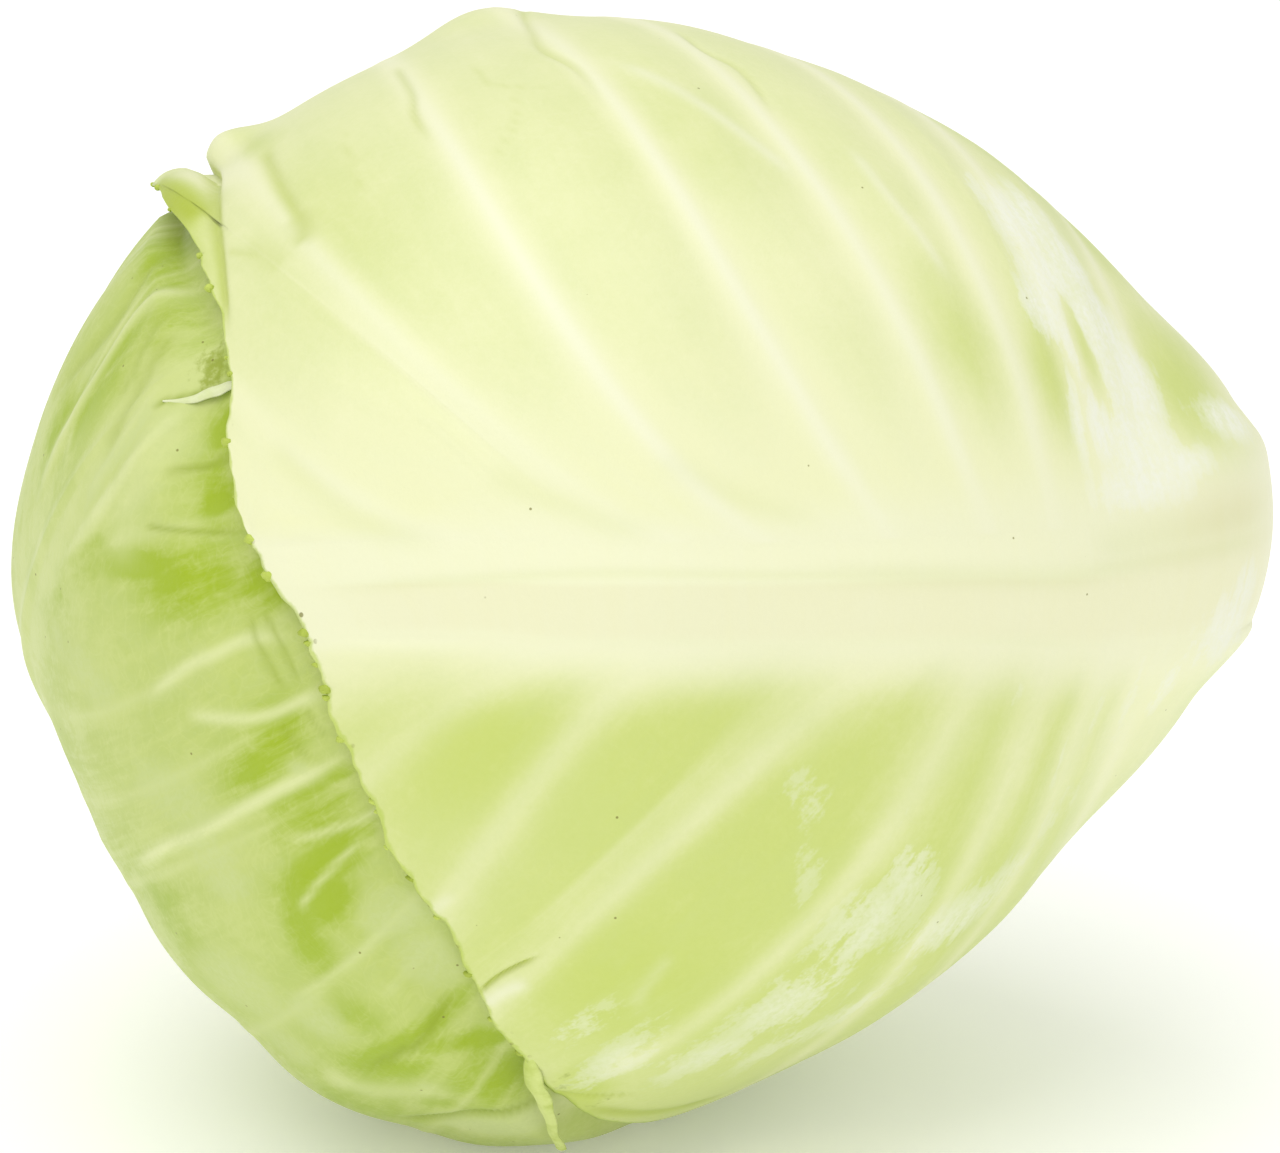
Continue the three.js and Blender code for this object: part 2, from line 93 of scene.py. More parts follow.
# A leaf lies on a chart of the skin, in degrees of arc: p runs along it to the tip, q across.
# outline: arc to the margin, at even turns round the chart's middle from the tip
# ribs: p on the midrib; p and q of the bend and turn of the end for the upper vein, then the
# same for the lower one; then the strength of both
# pairs in vein, girth, tone, clear and halo: above the midrib, below it
FRONT_LEAF = Record(
    name="front_leaf",
    azimuth=0,
    polar=84,
    thickness=1.3,
    gap=1.3,
    outline=[
        48, 56, 63, 92, 104, 101, 97, 95, 90, 86, 86, 84,
        74, 84, 85, 84, 86, 89, 86, 72, 58, 49.5, 46.5, 45.5,
    ],
    ribs=[
        (47.4, 47.4, 6.2, 7.4, 47.4, -3.9, -4.8, 0, 0),
        (30, 40, 12, 24, 38, -7, -12, 0.4, 0),
        (22, 38, 24, 37, 32, -11, -24, 0, 0.35),
        (11, 38.3, 30.8, 52, 22, -16, -44, 0.45, 0.6),
        (1, 22, 34, 69, 15, -23, -50, 1, 0),
        (-13, 4, 40, 80, 11, -27, -57, 1, 0.8),
        (-25, -12, 45, 88, -4.5, -43, -70, 0.9, 0.8),
        (-34, -28, 46, 102, -24, -49, -94, 0.8, 0.7),
        (-43, -40, 42, 116, -39, -46, -112, 0.6, 0.6),
        (-52, -54, 34, 135, -53, -32, -135, 0.5, 0.5),
        (-64, -66, 20, 152, -66, -20, -152, 0, 0),
        (-74, -76.5, 12, 170, -76.5, -12, -170, 0, 0),
    ],
    band=([4, 4.5, 8], [5.5, 7.5, 10.5]),
    crest=[2, -0.6, -2.5, -3.6, -0.8],
    midrib=3,
    vein=(0.45, 0.28),
    girth=(2.6, 3),
    tone=(0.65, 0.15),
    pillow=0.7,
    curl=0.6,
    flap=(42, 4, 0, 0),
    corner=[
        (28, 61), (30, 63), (31.8, 65.2), (33.4, 68), (34.8, 69.8), (36, 72.4), (37.4, 73.8),
        (38.8, 77.4), (39.7, 80.6), (40.5, 84), (41.4, 87), (42.2, 88.9), (42.8, 92), (43.3, 95.4),
        (43.7, 98.6), (44.4, 99.4), (45.4, 101.5), (47, 104), (52, 104), (60, 104),
    ],
    fold=[
        (54.6, 31.5), (55.1, 36.1), (56, 42.5), (57.2, 48.9), (58.4, 55), (60.5, 62.7),
        (65.4, 72.2), (69.2, 78.2),
    ],
    nodules=[
        (34, 0.72), (36.9, 0.54), (40.4, 0.36), (42.6, 0.54), (43.9, 0.45), (18.4, 0.9),
        (7.8, 1.08), (3.5, 1.08), (-3.8, 0.81), (-5.2, 0.54), (-11.3, 0.81), (-12.4, 0.54),
        (-18, 0.63), (-27, 0.72), (-28.4, 0.45), (-38, 0.63), (-44, 0.45), (-52, 0.54),
        (-63.4, 0.72), (12.5, 0.45), (25.8, 0.54), (-8, 0.45), (-33, 0.45), (-58, 0.45),
        (27.4, 0.36),
    ],
    green=(0.95, 0.44),
    fade=0.22,
    film=0,
    clear=(0.85, 0.42),
    shade=0.4,
    halo=((8, 3.2, 1.8), (9, 3.6, 2.6)),
    cream=(9, 21, 38),
    steps=36,
    rows=100,
    band_rows=12,
)

BACK_LEAF = Record(
    name="back_leaf",
    azimuth=-140,
    polar=110,
    thickness=1.2,
    gap=1.3,
    outline=[
        122, 119, 116, 109, 102, 92, 82, 80, 84, 88, 96, 103,
        99, 103, 98, 91, 88, 88, 90, 96, 104, 111, 116, 119,
    ],
    ribs=[
        (121, 121, 2.1, 1.3, 121, -2.1, -1.3, 0, 0),
        (88, 97, 22, 21, 98, -20, -19, 0.3, 0.5),
        (62, 80, 34, 32, 80, -36, -31, 0.3, 0.8),
        (50, 72, 42, 41, 70, -44, -42, 0.3, 1),
        (34, 60, 40, 49, 56, -46, -53, 0.3, 1),
        (16, 40, 48, 59, 38, -48, -63, 0.4, 1),
        (-6, 16, 50, 73, 14, -50, -77, 0.6, 1),
        (-30, -12, 44, 92, -14, -46, -96, 1, 1),
        (-52, -44, 40, 118, -44, -42, -117, 1, 1),
        (-72, -68, 30, 140, -68, -32, -139, 1, 1),
        (-88, -90, 18, 158, -90, -18, -158, 0, 0),
        (-98.5, -101.5, 12, 169, -101.5, -12, -169, 0, 0),
    ],
    band=([1.5, 5, 9], [1.5, 5, 9]),
    crest=[0, 0, 0],
    midrib=4.6,
    vein=(0.5, 0.4),
    girth=(1.4, 1.4),
    tone=(0.8, 0.8),
    pillow=1,
    curl=0.9,
    flap=(-60, 12, 1.5, 2),
    corner=[],
    fold=[],
    nodules=[],
    green=(0.42, 0.42),
    fade=0,
    film=0.5,
    clear=(0.8, 0.8),
    shade=0,
    halo=((3, 1.6, 0.9), (3, 1.6, 0.9)),
    cream=(3, 14, 14),
    steps=36,
    rows=100,
    band_rows=12,
)

TOP_LEAF = Record(**vars(BACK_LEAF) | dict(
    name="top_leaf",
    azimuth=110,
    polar=84,
    thickness=1.1,
    gap=1.1,
    outline=[
        98, 97, 94, 90, 86, 82, 80, 80, 81, 83, 83, 80,
        74, 80, 83, 83, 81, 80, 80, 82, 86, 90, 94, 97,
    ],
    ribs=[
        (97, 97, 2, 1.5, 97, -2, -1.5, 0, 0),
        (70, 82, 16, 16, 82, -16, -16, 1, 1),
        (46, 64, 30, 32, 62, -32, -33, 1, 1),
        (24, 44, 38, 48, 42, -38, -48, 1, 1),
        (4, 22, 42, 64, 20, -42, -64, 1, 1),
        (-16, 0, 42, 84, -2, -42, -84, 1, 1),
        (-34, -24, 40, 106, -26, -40, -106, 1, 1),
        (-50, -48, 32, 130, -48, -32, -130, 1, 1),
        (-64, -66, 20, 150, -66, -20, -150, 0, 0),
        (-74, -76.5, 12, 170, -76.5, -12, -170, 0, 0),
    ],
    midrib=4.2,
    vein=(0.6, 0.6),
    girth=(2, 2),
    pillow=0.9,
    curl=0.3,
    flap=(0, 1, 0, 0),
    green=(0.6, 0.6),
    film=0.45,
    halo=((5, 2.4, 1.4), (5, 2.4, 1.4)),
    cream=(4, 20, 20),
    steps=28,
    rows=68,
    band_rows=8,
))

LEAVES = [FRONT_LEAF, BACK_LEAF, TOP_LEAF]

# Marks on each leaf, placed on its chart.
# lines: points (p, q), half width and height in mm, and how dark (+) or pale (-) it is; the dark is
# painted shade in creases, grooves, cracks and hollows
# patches: p, q, half length, half width, lean in degrees, strength
FRONT_LEAF.lines = [
    ([(52, 63), (50, 57), (48, 51), (46, 46), (45, 42)], 1.1, -0.35, 0.6),
    ([(46, 46), (45, 43), (45, 40)], 1.8, -0.2, 0.6),
    ([(55, 43.5), (52.6, 42), (49, 40)], 0.6, -0.1, 0.3),
    ([(47, 38), (50, 41), (53, 43)], 2.2, 0, 0.22),
    ([(33, 74), (32, 68), (31, 62), (31, 57), (29, 50)], 0.7, -0.35, 0.45),
    ([(11, 92), (13, 84), (14, 74), (14, 68), (11, 62), (9, 52)], 0.7, -0.5, 0.38),
    ([(-6, 76), (-7, 68), (-10, 64), (-11, 59), (-11, 53)], 0.6, -0.3, 0.3),
    # painted shadow: faint shade lines running from beside the veins into the midrib
    ([(50, 18), (46, 13), (41, 8), (37, 6), (31, 4.5)], 1.9, -0.12, 0.13),
    ([(28, 12), (24, 9), (20, 7), (16, 5), (10, 3.6)], 1.9, -0.12, 0.12),
    ([(12, 12), (7, 9), (1, 6), (-7, 4)], 1.9, -0.1, 0.1),
    ([(40, 59), (39, 52), (37, 44)], 0.45, -0.05, 0.2),
    ([(23, 67), (22, 61), (19, 59), (14, 58)], 0.45, -0.05, 0.2),
    ([(19, 59), (20, 52), (24, 46)], 0.45, -0.04, 0.15),
    ([(7, 64), (-1, 55), (-7, 48), (-11, 43)], 1.3, 0.12, -0.5),
    ([(-19, 49), (-21, 42), (-24, 35), (-26, 29)], 1.1, 0.1, -0.5),
    ([(11, -41), (14, -46), (15, -49)], 1.2, 0.05, -0.22),
    # painted shade in the hollow under the turned corner, here and in the line from (69, 64)
    ([(68, 63.5), (65, 58), (63.5, 55), (62.3, 53), (60.6, 50)], 2.3, 0, 1.2),
    ([(33, -31), (38, -35), (41, -37)], 1, 0.1, -0.4),
    # a crack, painted dark in its crevice as shade
    ([(31.6, -44.4), (30, -42.6), (28, -41.2), (24.5, -39.4)], 0.35, -0.6, 1),
    ([(31, -46), (29, -44.2), (26, -43)], 1.3, 0.25, -0.7),
    # painted shade along the midrib's crest line and the valley above it towards the stem
    ([(46, 1), (32, 1), (18, 0.6), (2, -0.8), (-14, -2), (-34, -3.6)], 0.8, -0.12, 0.12),
    ([(2, -0.8), (-14, -2), (-34, -3.6), (-42, -3), (-54, -2), (-63, -1), (-76, 0)],
     1.6, -0.3, 0.14),
    ([(-38, -1), (-50, 0), (-60, 1.5), (-70, 3)], 3, -0.4, 0.12),
    ([(69, 64), (66.5, 60), (64, 57), (62, 54.5), (59.7, 51.5), (58.3, 50)], 2.8, 0, 1.2),
    ([(20, -67), (14, -72), (8, -76), (2, -78), (-5, -79)], 1.8, -0.3, 0.9),
    ([(23, -62), (21, -66), (20, -70)], 0.8, -0.3, 0.8),
    ([(25, -61), (18, -65), (12, -67)], 0.5, -0.2, 0.6),
]
FRONT_LEAF.patches = {"green": [
    (-27, 21, 9, 6, -114, 0.35), (-37, 18, 7, 3, -96, 0.55), (-37, 23, 5, 2, -95, 0.4),
    (-43.6, 22, 5, 1.2, -98, 0.5), (31.6, -17.7, 7, 4, -30, 0.22), (42, 44, 12, 6, -114, 0.2),
    (54, 66, 5, 3, 60, 0.35), (17, -46, 11, 8, -147, 0.3), (3, 50, 10, 8, -120, 0.12),
    (-57, 44, 12, 5, -120, 0.42), (-50, 52, 12, 3, -118, 0.35), (-59, 16, 9, 6, -82, 0.6),
    # (61.5, 61.5) pales the turned corner's cap as painted light; (62, 50) and (63.4, 55) are
    # painted shade in the hollow under it
    (61.5, 61.5, 6, 2.6, 29, -0.55), (-55, -18, 16, 9, 80, -0.5), (-2, 28, 16, 12, 0, -0.15),
    (62, 50, 12, 4, 75, 0.2), (63.4, 55, 5, 2.4, 62, 1), (21, -65, 6, 3, -70, 0.85),
    (18, -58, 10, 5, -149, -0.1), (-52, -17, 5, 1.6, 90, 0.15), (-46, -19, 6, 2, 97, 0.12),
    (-38, -22, 6, 2, 103, 0.15),
], "wax": [
    (-38.5, 27, 5, 3.5, -110, 1), (-41, 39, 7, 5, -87, 1), (-41.5, 31, 6, 5, -123, 1),
    (-46, 25, 7, 5, -110, 1), (-49, 18, 7, 4.5, -101, 1), (-48, 11, 6, 5, -90, 1),
    (-48, 6, 8, 3, 175, 0.95), (-54, 8, 5, 2.4, 173, 0.9), (-64, 13, 3, 5, -82, 1),
    (-41, 24, 8, 1.5, -97, 0.85), (-48.5, 26, 7, 4, -108, 1), (-45, 40, 8, 4, -95, 0.95),
    (-46.5, 34, 7, 4, -105, 1), (-43.8, 13.5, 6, 2.4, -93, 1), (-51.5, 18, 7, 3.5, -100, 1),
    (-51, 10, 6, 4, -92, 1), (-40, 14, 7, 1.4, -92, 0.8), (-44, 5, 7, 1.4, -168, 0.6),
    (-37, 44, 6, 3, -94, 0.7), (-62, -11, 7, 6, 154, 0.85), (-55, -18, 6, 2, 91, 0.7),
    (-64, -7, 5, 5, 159, 0.8), (-50, -20, 8, 1.4, 81, 0.55), (-40, -25, 8, 1.4, 88, 0.5),
    (-45, -22, 7, 1.4, 83, 0.5), (-18, -38, 10, 6, -93, 0.66), (-13, -44, 11, 7, -47, 0.7),
    (-6, -54, 13, 7, -32, 0.72), (4, -61, 12, 5, -7, 0.66), (16, -58, 9, 5, -40, 0.68),
    (21, -51, 6, 4, -30, 0.6), (-29, -48, 14, 6, 154, 0.72), (-17, -61, 14, 4, 149, 0.62),
    (-3, -25, 6, 4, -129, 0.52), (-4, -34, 6, 2.4, -91, 0.52), (-7, -64, 12, 4, 159, 0.6),
    (-36, -43, 8, 4, 150, 0.6), (-31, -16, 5, 1.6, 108, 0.42), (-44, -34, 10, 4, 120, 0.5),
], "worn": [
    (-43.6, 22, 5, 0.9, -98, 0.9),
], "bruise": [
    (22, -60, 4, 1.8, -60, 0.32), (17, -67, 4, 1.8, -50, 0.34),
], "tan": [
    (-60, 2, 8, 3, 170, 0.85), (-55, -3, 9, 3, 169, 0.5), (-66, -1, 7, 6, 153, 0.5),
]}
BACK_LEAF.lines = [
    ([(79, 34), (85, 41), (87, 45), (89, 49), (89, 57)], 1, 0.3, -1.1),
    ([(80, 42), (80, 51), (80, 56), (81, 60), (82, 65)], 1, 0.3, -1.1),
    ([(55, 28), (63, 40), (66, 47), (69, 54), (71, 60), (72, 65), (73, 71)], 1.1, 0.5, -1.3),
    ([(65, 61), (64, 68), (64, 72), (65, 78)], 0.6, 0.3, -0.8),
    ([(56, 62), (59, 66), (62, 72)], 0.5, 0.2, -0.8),
    ([(44, 54), (47, 64), (49, 71), (51, 78)], 0.7, 0.25, -0.6),
    ([(41, 68), (42, 70), (44, 78)], 0.5, 0.2, -0.5),
    ([(96, 20), (98, 27), (101, 38)], 0.45, -0.25, 0.7),
    ([(101, 16), (104, 20), (106, 22), (108, 26)], 0.6, -0.25, 0.8),
    ([(92, 46), (87, 52), (82, 58)], 0.5, -0.25, 0.5),
    ([(92.5, 48), (88, 54), (82.5, 60)], 0.5, -0.25, 0.55),
    ([(79, 58), (76, 61), (73, 64)], 0.5, -0.2, 0.4),
    ([(80, 61), (78, 63), (75, 66)], 0.5, -0.2, 0.4),
    ([(36, 74), (33, 68), (33, 64), (32, 55)], 0.9, -0.5, 0.8),
    ([(20, 49), (18.6, 54), (17.2, 60), (13.6, 63.5), (9, 66)], 1.2, -0.7, 0.9),
    # pale white film on the leaf's underside, painted paler than elsewhere as painted light bounced
    # up from the table
    ([(33, 50), (29, 55), (26, 60), (23, 65)], 3.5, 0, -0.8),
    ([(107, 8), (101, 13), (95, 16), (89, 18)], 4.5, 0, -0.7),
    ([(109, -20), (102, -20), (97, -14), (90, -10), (80, -6)], 1.3, 0.6, -1),
    ([(108, 8), (101, 11), (95, 11), (81, 7)], 1.6, 0.6, -1),
    ([(107, 0), (98, 5), (91, 6)], 1.2, 0.3, -0.7),
    ([(99, -37), (97, -26), (93, -21), (83, -20)], 1.4, -0.5, 0.35),
    ([(8, -20), (-4, -40), (-6, -66)], 1.5, 0.3, -0.6),
    ([(-40, -20), (-52, -50), (-60, -78)], 1.5, 0.3, -0.6),
    ([(-36, 20), (-52, 46), (-62, 70)], 1.5, 0.3, -0.6),
    ([(109, -9), (102, -2), (95, 4)], 1.2, -0.4, 0.4),
    ([(99, -3), (104, -9), (107, -17)], 1, -0.3, 0.3),
    ([(104, 3.6), (107, 5.8), (109.6, 7)], 0.5, -0.4, 0.9),
    # pale white film on the leaf's underside, painted paler than elsewhere as painted light bounced
    # up from the table
    ([(17, 52), (14.4, 56.6), (11.6, 60.4), (8, 64), (4, 68)], 4.2, 0, -1.3),
]
BACK_LEAF.patches = {"green": [
    (88, -3, 6, 4, -26, 1), (95, -7, 6, 4, -10, 0.9), (87, -11, 4, 3, -49, 0.8),
    (97, -13, 6, 2.5, -10, 0.8), (93, 25, 6, 1.4, 74, 1), (94, 35, 6, 3, 84, 1),
    (96, 48, 6, 2.5, 87, 1), (109, 18, 5, 2, 102, 0.9), (103, 27, 5, 2, 104, 0.9),
    (110, -4, 4, 3, 8, 0.9), (112, 3, 6, 1.6, 92, 1), (78, 58, 3, 2.4, 106, 1),
    (74, 56, 4, 3, 116, 0.6), (67, 65, 5, 3, 116, 0.6), (60.5, 66.5, 5, 2, 70, 1),
    (56, 66, 2.4, 2, 149, 0.9), (53, 62, 5, 2, 175, 0.6), (71, 67, 3, 1, 116, 0.6),
    (40, 63, 3, 2, 132, 0.3), (31, 61, 5, 1.8, 110, 0.8), (34, 65, 8, 1.2, 89, 0.9),
    (29, 56, 6, 4, 86, 0.8), (24, 48, 4, 9, 173, 0.5), (27, 71, 6, 1.2, 144, 1),
    (20, 68, 7, 4, 134, 0.8), (22, 60, 4, 2, 160, 0.7), (54, 38, 6, 4, 106, 0.4),
    (79, -1, 5, 3, -9, 0.5), (81, 9, 9, 2, 41, 0.4), (89, 12, 7, 1.2, 40, 0.5),
    (99, -32, 12, 2, 60, 0.5), (-5, -70, 14, 6, -90, 0.5), (-30, 10, 16, 9, 70, 0.35),
    (-50, -60, 12, 6, 60, 0.5), (-80, 20, 8, 6, 90, 0.4), (10, -55, 16, 7, -70, 0.35),
    (108, -10, 5, 2.4, 75, 0.5), (106, -6, 4, 2.6, 60, 0.7), (102.5, -6, 5, 2.4, 70, 0.45),
    (101.5, -25, 4, 1.3, -55, 0.5), (109.5, -4, 4, 3, 90, 0.5),
], "wax": [
    (96, 6, 8, 2.5, -7, 0.85), (102, 5, 5, 2, -34, 0.8), (78, 22, 13, 5, 93, 0.75),
    (70, 42, 14, 6, 101, 0.75), (62, 50, 10, 5, 123, 0.8), (47, 46, 11, 8, 124, 0.9),
    (50, 73, 8, 4, 138, 0.9), (42, 74, 8, 4, 168, 0.9), (41, 58, 8, 5, 123, 0.85),
    (26, 62, 4, 2, 171, 0.9), (14, 58, 8, 3, 140, 1), (73, 62, 3, 1.2, 118, 0.9),
    (13, 58.5, 9, 4, 122, 1), (84, -3, 12, 2.5, -60, 0.9), (92, -16, 10, 2.5, -60, 0.85),
    (78, 10, 10, 3, -80, 0.8), (28, 56, 6, 4, 120, 0.95), (25, 64.5, 4, 3, 130, 0.95),
    (20, -30, 22, 8, -80, 0.8), (-20, -45, 18, 8, -60, 0.8), (-60, 10, 22, 7, 80, 0.8),
    (-40, 40, 20, 7, 60, 0.8), (-75, -30, 14, 6, 40, 0.8), (10, 10, 14, 8, 20, 0.7),
    (81, -40, 9, 2, -80, 0.8), (31, 77, 5, 3, -177, 0.9), (97, 40, 4, 3, 80, 0.7),
    (36, 48, 9, 5, 110, 0.8),
], "bruise": [
    # the first is a bruise; the other two are painted shade on this leaf under the front leaf's
    # lower margin, near the table
    (110.5, 2, 6, 2, 92, 0.6), (22, 76, 6, 2, 0, 0.5), (16, 72, 4, 1.5, 120, 0.5),
]}
TOP_LEAF.lines = []
TOP_LEAF.patches = {
    "green": [(20, 30, 18, 10, 30, 0.4), (-10, -40, 20, 10, 0, 0.4)],
    "wax": [(0, 0, 40, 14, 10, 0.7), (40, -30, 20, 10, 40, 0.8), (-30, 40, 16, 10, 0, 0.8)],
}

# ---- small tools

TINY = 1e-9
FAR = 99.0  # more than any distance that counts


def smooth(low, high, x):
    s = np.clip((x - low) / (high - low), 0, 1)
    return s * s * (3 - 2 * s)


def bell(x, width):
    return np.exp(-((x / width) ** 2))


def catmull(a, b, c, d, t):
    t2, t3 = t * t, t * t * t
    return 0.5 * (
        2 * b + (c - a) * t + (2 * a - 5 * b + 4 * c - d) * t2 + (3 * b - a - 3 * c + d) * t3
    )


def loop_at(values, t):
    v = np.asarray(values, float)
    i = np.floor(t).astype(int)
    return catmull(*(v[(i + k) % len(v)] for k in (-1, 0, 1, 2)), t - i)


def line_at(values, t):
    v = np.asarray(values, float)
    v = np.concatenate([[2 * v[0] - v[1]], v, [2 * v[-1] - v[-2]]])
    i = np.minimum(np.floor(t).astype(int), len(values) - 2)
    return catmull(v[i], v[i + 1], v[i + 2], v[i + 3], t - i)


def unit(v):
    return v / np.linalg.norm(v, axis=-1, keepdims=True)


def cos_sin(degrees):
    return np.cos(np.radians(degrees)), np.sin(np.radians(degrees))


def stacked(*grids):
    """The points or values of several grids, one after another."""
    return np.concatenate([grid.reshape(-1, *grid.shape[2:]) for grid in grids])


# ---- the head's skin

RING = UPPER_RADIUS + LOWER_RADIUS[-2:0:-1]
RING_STEP = 360 / len(RING)


def direction(polar, turn):
    (along, out), (front, up) = cos_sin(polar), cos_sin(turn)
    return np.array([along, out * front, out * up])


def skin_radius(d):
    polar = np.degrees(np.arccos(np.clip(d[..., 0], -1, 1)))
    across = np.hypot(d[..., 1], d[..., 2])
    rise = np.where(across > 0, d[..., 2] / np.maximum(across, TINY), 0)
    above = loop_at(RING, polar / RING_STEP)
    below = loop_at(RING, (360 - polar) / RING_STEP)
    radius = (above + below) / 2 + (above - below) / 2 * rise
    radius = radius * (1 - (1 - DEPTH_RATIO) * (1 - rise**2) * across**2)
    for lump_polar, lump_turn, height, spread in LUMPS:
        cosine = np.clip(d @ direction(lump_polar, lump_turn), -1, 1)
        radius = radius + height * bell(np.degrees(np.arccos(cosine)), spread)
    return radius


# ---- charts

(LEVEL, BACKWARD), (FORTH, UPWARD) = map(cos_sin, STEM_AXIS)
STEM_DIR = np.array([FORTH * LEVEL, -BACKWARD, UPWARD * LEVEL])
FRONT_DIR = unit(np.array([0, 1, 0]) - STEM_DIR[1] * STEM_DIR)
TOP_DIR = np.cross(STEM_DIR, FRONT_DIR)


def make_chart(leaf):
    c, s = cos_sin(leaf.azimuth)
    out, across = c * FRONT_DIR + s * TOP_DIR, c * TOP_DIR - s * FRONT_DIR
    c, s = cos_sin(leaf.polar)
    return c * STEM_DIR + s * out, c * out - s * STEM_DIR, across


for number, each in enumerate(LEAVES):
    each.layer = number
    each.chart = make_chart(each)


def chart_to_dir(chart, p, q):
    centre, along, across = chart
    arc = np.radians(np.hypot(p, q))
    side = np.sinc(arc / np.pi) * math.pi / 180
    return unit(
        np.cos(arc)[..., None] * centre
        + (p * side)[..., None] * along
        + (q * side)[..., None] * across
    )


def dir_to_polar(chart, d):
    """Arc from the chart's centre, and the turn round it from the tip."""
    centre, along, across = chart
    arc = np.degrees(np.arccos(np.clip(d @ centre, -1, 1)))
    turn = np.degrees(np.arctan2(d @ across, d @ along))
    return arc, turn


def outline_arc(leaf, turn):
    return loop_at(leaf.outline, turn * len(leaf.outline) / 360)


def buried(leaf, d):
    """How deep the leaves outside this one press it, and how much of it they cover."""
    depth, most = np.zeros((2, *d.shape[:-1]))
    for outer in LEAVES[:leaf.layer]:
        arc, turn = dir_to_polar(outer.chart, d)
        margin = outline_arc(outer, turn) + REACH
        cover = 1 - smooth(margin, margin + FADE, arc)
        depth += (outer.thickness + outer.gap) * cover
        most = np.maximum(most, cover)
    return depth, most


def place(d, distance, lift):
    """Points in the packed frame, flattened where the head rests."""
    c, s = cos_sin(HEAD_ROLL)
    y = -d[..., 1] * c + d[..., 2] * s
    z = d[..., 1] * s + d[..., 2] * c
    limit = (REST_LEVEL + lift) / np.where(z < 0, z, -TINY)
    r = np.where(z < 0, np.minimum(distance, limit), distance)
    return np.stack([d[..., 0] * r - ORIGIN[0], y * r - ORIGIN[1], z * r - REST_LEVEL], -1)


# ---- a leaf's net

COARSE = 4  # a leaf's inner skin has one face for 4 x 4 outside


def ragged(leaf, turn):
    """Nicks along the margin, in degrees of arc."""
    seed = leaf.azimuth
    waves = ((17, 0.35, 1), (41, 0.22, 2), (97, 0.1, 3), (163, 0.04, 5))
    return sum(size * np.sin(np.radians(turn * rate + seed * shift)) for rate, size, shift in waves)


def flap_at(leaf, turn):
    centre, spread = leaf.flap[:2]
    return bell(turn - centre, spread)


def margin_arc(leaf, turn):
    arc = outline_arc(leaf, turn)
    if leaf.corner:
        turns, arcs = zip(*leaf.corner)
        inside = (turn > turns[0]) & (turn < turns[-1])
        arc = np.where(inside, np.interp(turn, turns, arcs), arc)
    return arc + ragged(leaf, turn) + leaf.flap[3] * flap_at(leaf, turn)


UPPER_VEIN, LOWER_VEIN = 1, 4  # first column of each in a row of ribs
TIP_COLUMNS = 1.8  # the midrib shifts to meet the margin up to this rib
BUNCHING = 0.4  # how far columns crowd towards the veins
ROW_SPREAD = 0.45  # 1 would space the rows evenly, less crowds the margin
LINE_STEPS = 5  # straight steps from one point of a drawn line to the next
PATCH_FALL = 0.7  # a patch falls to about a half on its outline


def rib_column(leaf, column, t):
    return line_at([rib[column] for rib in leaf.ribs], t)


def crest_at(leaf, t):
    return line_at(leaf.crest, t / (len(leaf.ribs) - 1) * (len(leaf.crest) - 1))


def to_margin(leaf, t, q):
    """How far the midrib's first millimetres stretch or shrink to end on the leaf's margin."""
    first = leaf.ribs[0][0]
    arc = margin_arc(leaf, np.degrees(np.arctan2(q, first)))
    return (np.sqrt(arc * arc - q * q) - first) * (1 - smooth(0, TIP_COLUMNS, t))


def midrib_point(leaf, t, side, s):
    """A point on the midrib: s is 0 on its crest and 1 where the blade starts."""
    share = t / (len(leaf.ribs) - 1) * 2
    band = np.maximum(0, line_at(leaf.band[0 if side > 0 else 1], share))
    q = crest_at(leaf, t) + side * band * s
    return np.stack([rib_column(leaf, 0, t) + to_margin(leaf, t, q), q], -1)


def rib_points(leaf, t, side, v):
    first = UPPER_VEIN if side > 0 else LOWER_VEIN
    start = midrib_point(leaf, t, side, 1)
    bend = rib_column(leaf, first + 1, t)
    via = np.stack([rib_column(leaf, first, t) + to_margin(leaf, t, bend), bend], -1)
    turn = rib_column(leaf, first + 2, t)
    arc = margin_arc(leaf, turn)
    end = arc[..., None] * np.stack(cos_sin(turn), -1)
    control = 2 * via - (start + end) / 2
    w = v[..., None]
    return (1 - w) ** 2 * start + 2 * w * (1 - w) * control + w**2 * end


def leaf_net(leaf):
    """Arrays over the whole leaf: a row for each column of the net, margin to margin."""
    last = len(leaf.ribs) - 1
    share = np.arange(last * leaf.steps + 1) / leaf.steps
    t = share - BUNCHING * np.sin(2 * np.pi * share) / (2 * np.pi)
    u = np.linspace(0, 1, leaf.rows + 1)
    v_out = 1 - ROW_SPREAD * u - (1 - ROW_SPREAD) * u * u
    s_band = np.linspace(-1, 1, 2 * leaf.band_rows + 1)[1:-1]
    tt, vv = np.meshgrid(t, v_out, indexing="ij")
    upper = rib_points(leaf, tt, 1, vv)
    lower = rib_points(leaf, tt, -1, vv)[:, ::-1]
    band = np.stack([midrib_point(leaf, t, -np.sign(s), abs(s)) for s in s_band], 1)
    pq = np.concatenate([upper, band, lower], 1)
    flat = np.zeros((len(t), len(s_band)))
    net = Record(
        t=np.repeat(t[:, None], pq.shape[1], 1),
        v=np.concatenate([vv, flat, vv[:, ::-1]], 1),
        side=np.concatenate([vv * 0 + 1, flat, vv * 0 - 1], 1),
        s=np.concatenate([vv * 0 + 1, flat + np.abs(s_band), vv * 0 + 1], 1),
        turn=np.degrees(np.arctan2(pq[..., 1], pq[..., 0])),
        p=pq[..., 0],
        q=pq[..., 1],
        last=last,
        high_stop=upper.shape[1],
        low_start=upper.shape[1] + band.shape[1],
    )
    net.blade = net.side != 0
    net.below = net.q < crest_at(leaf, net.t)
    net.dir = chart_to_dir(leaf.chart, net.p, net.q)
    return net


def steps_along(points, axis):
    gaps = np.linalg.norm(np.diff(points, axis=axis), axis=-1)
    return np.concatenate([np.zeros_like(np.take(gaps, [0], axis)), np.cumsum(gaps, axis)], axis)


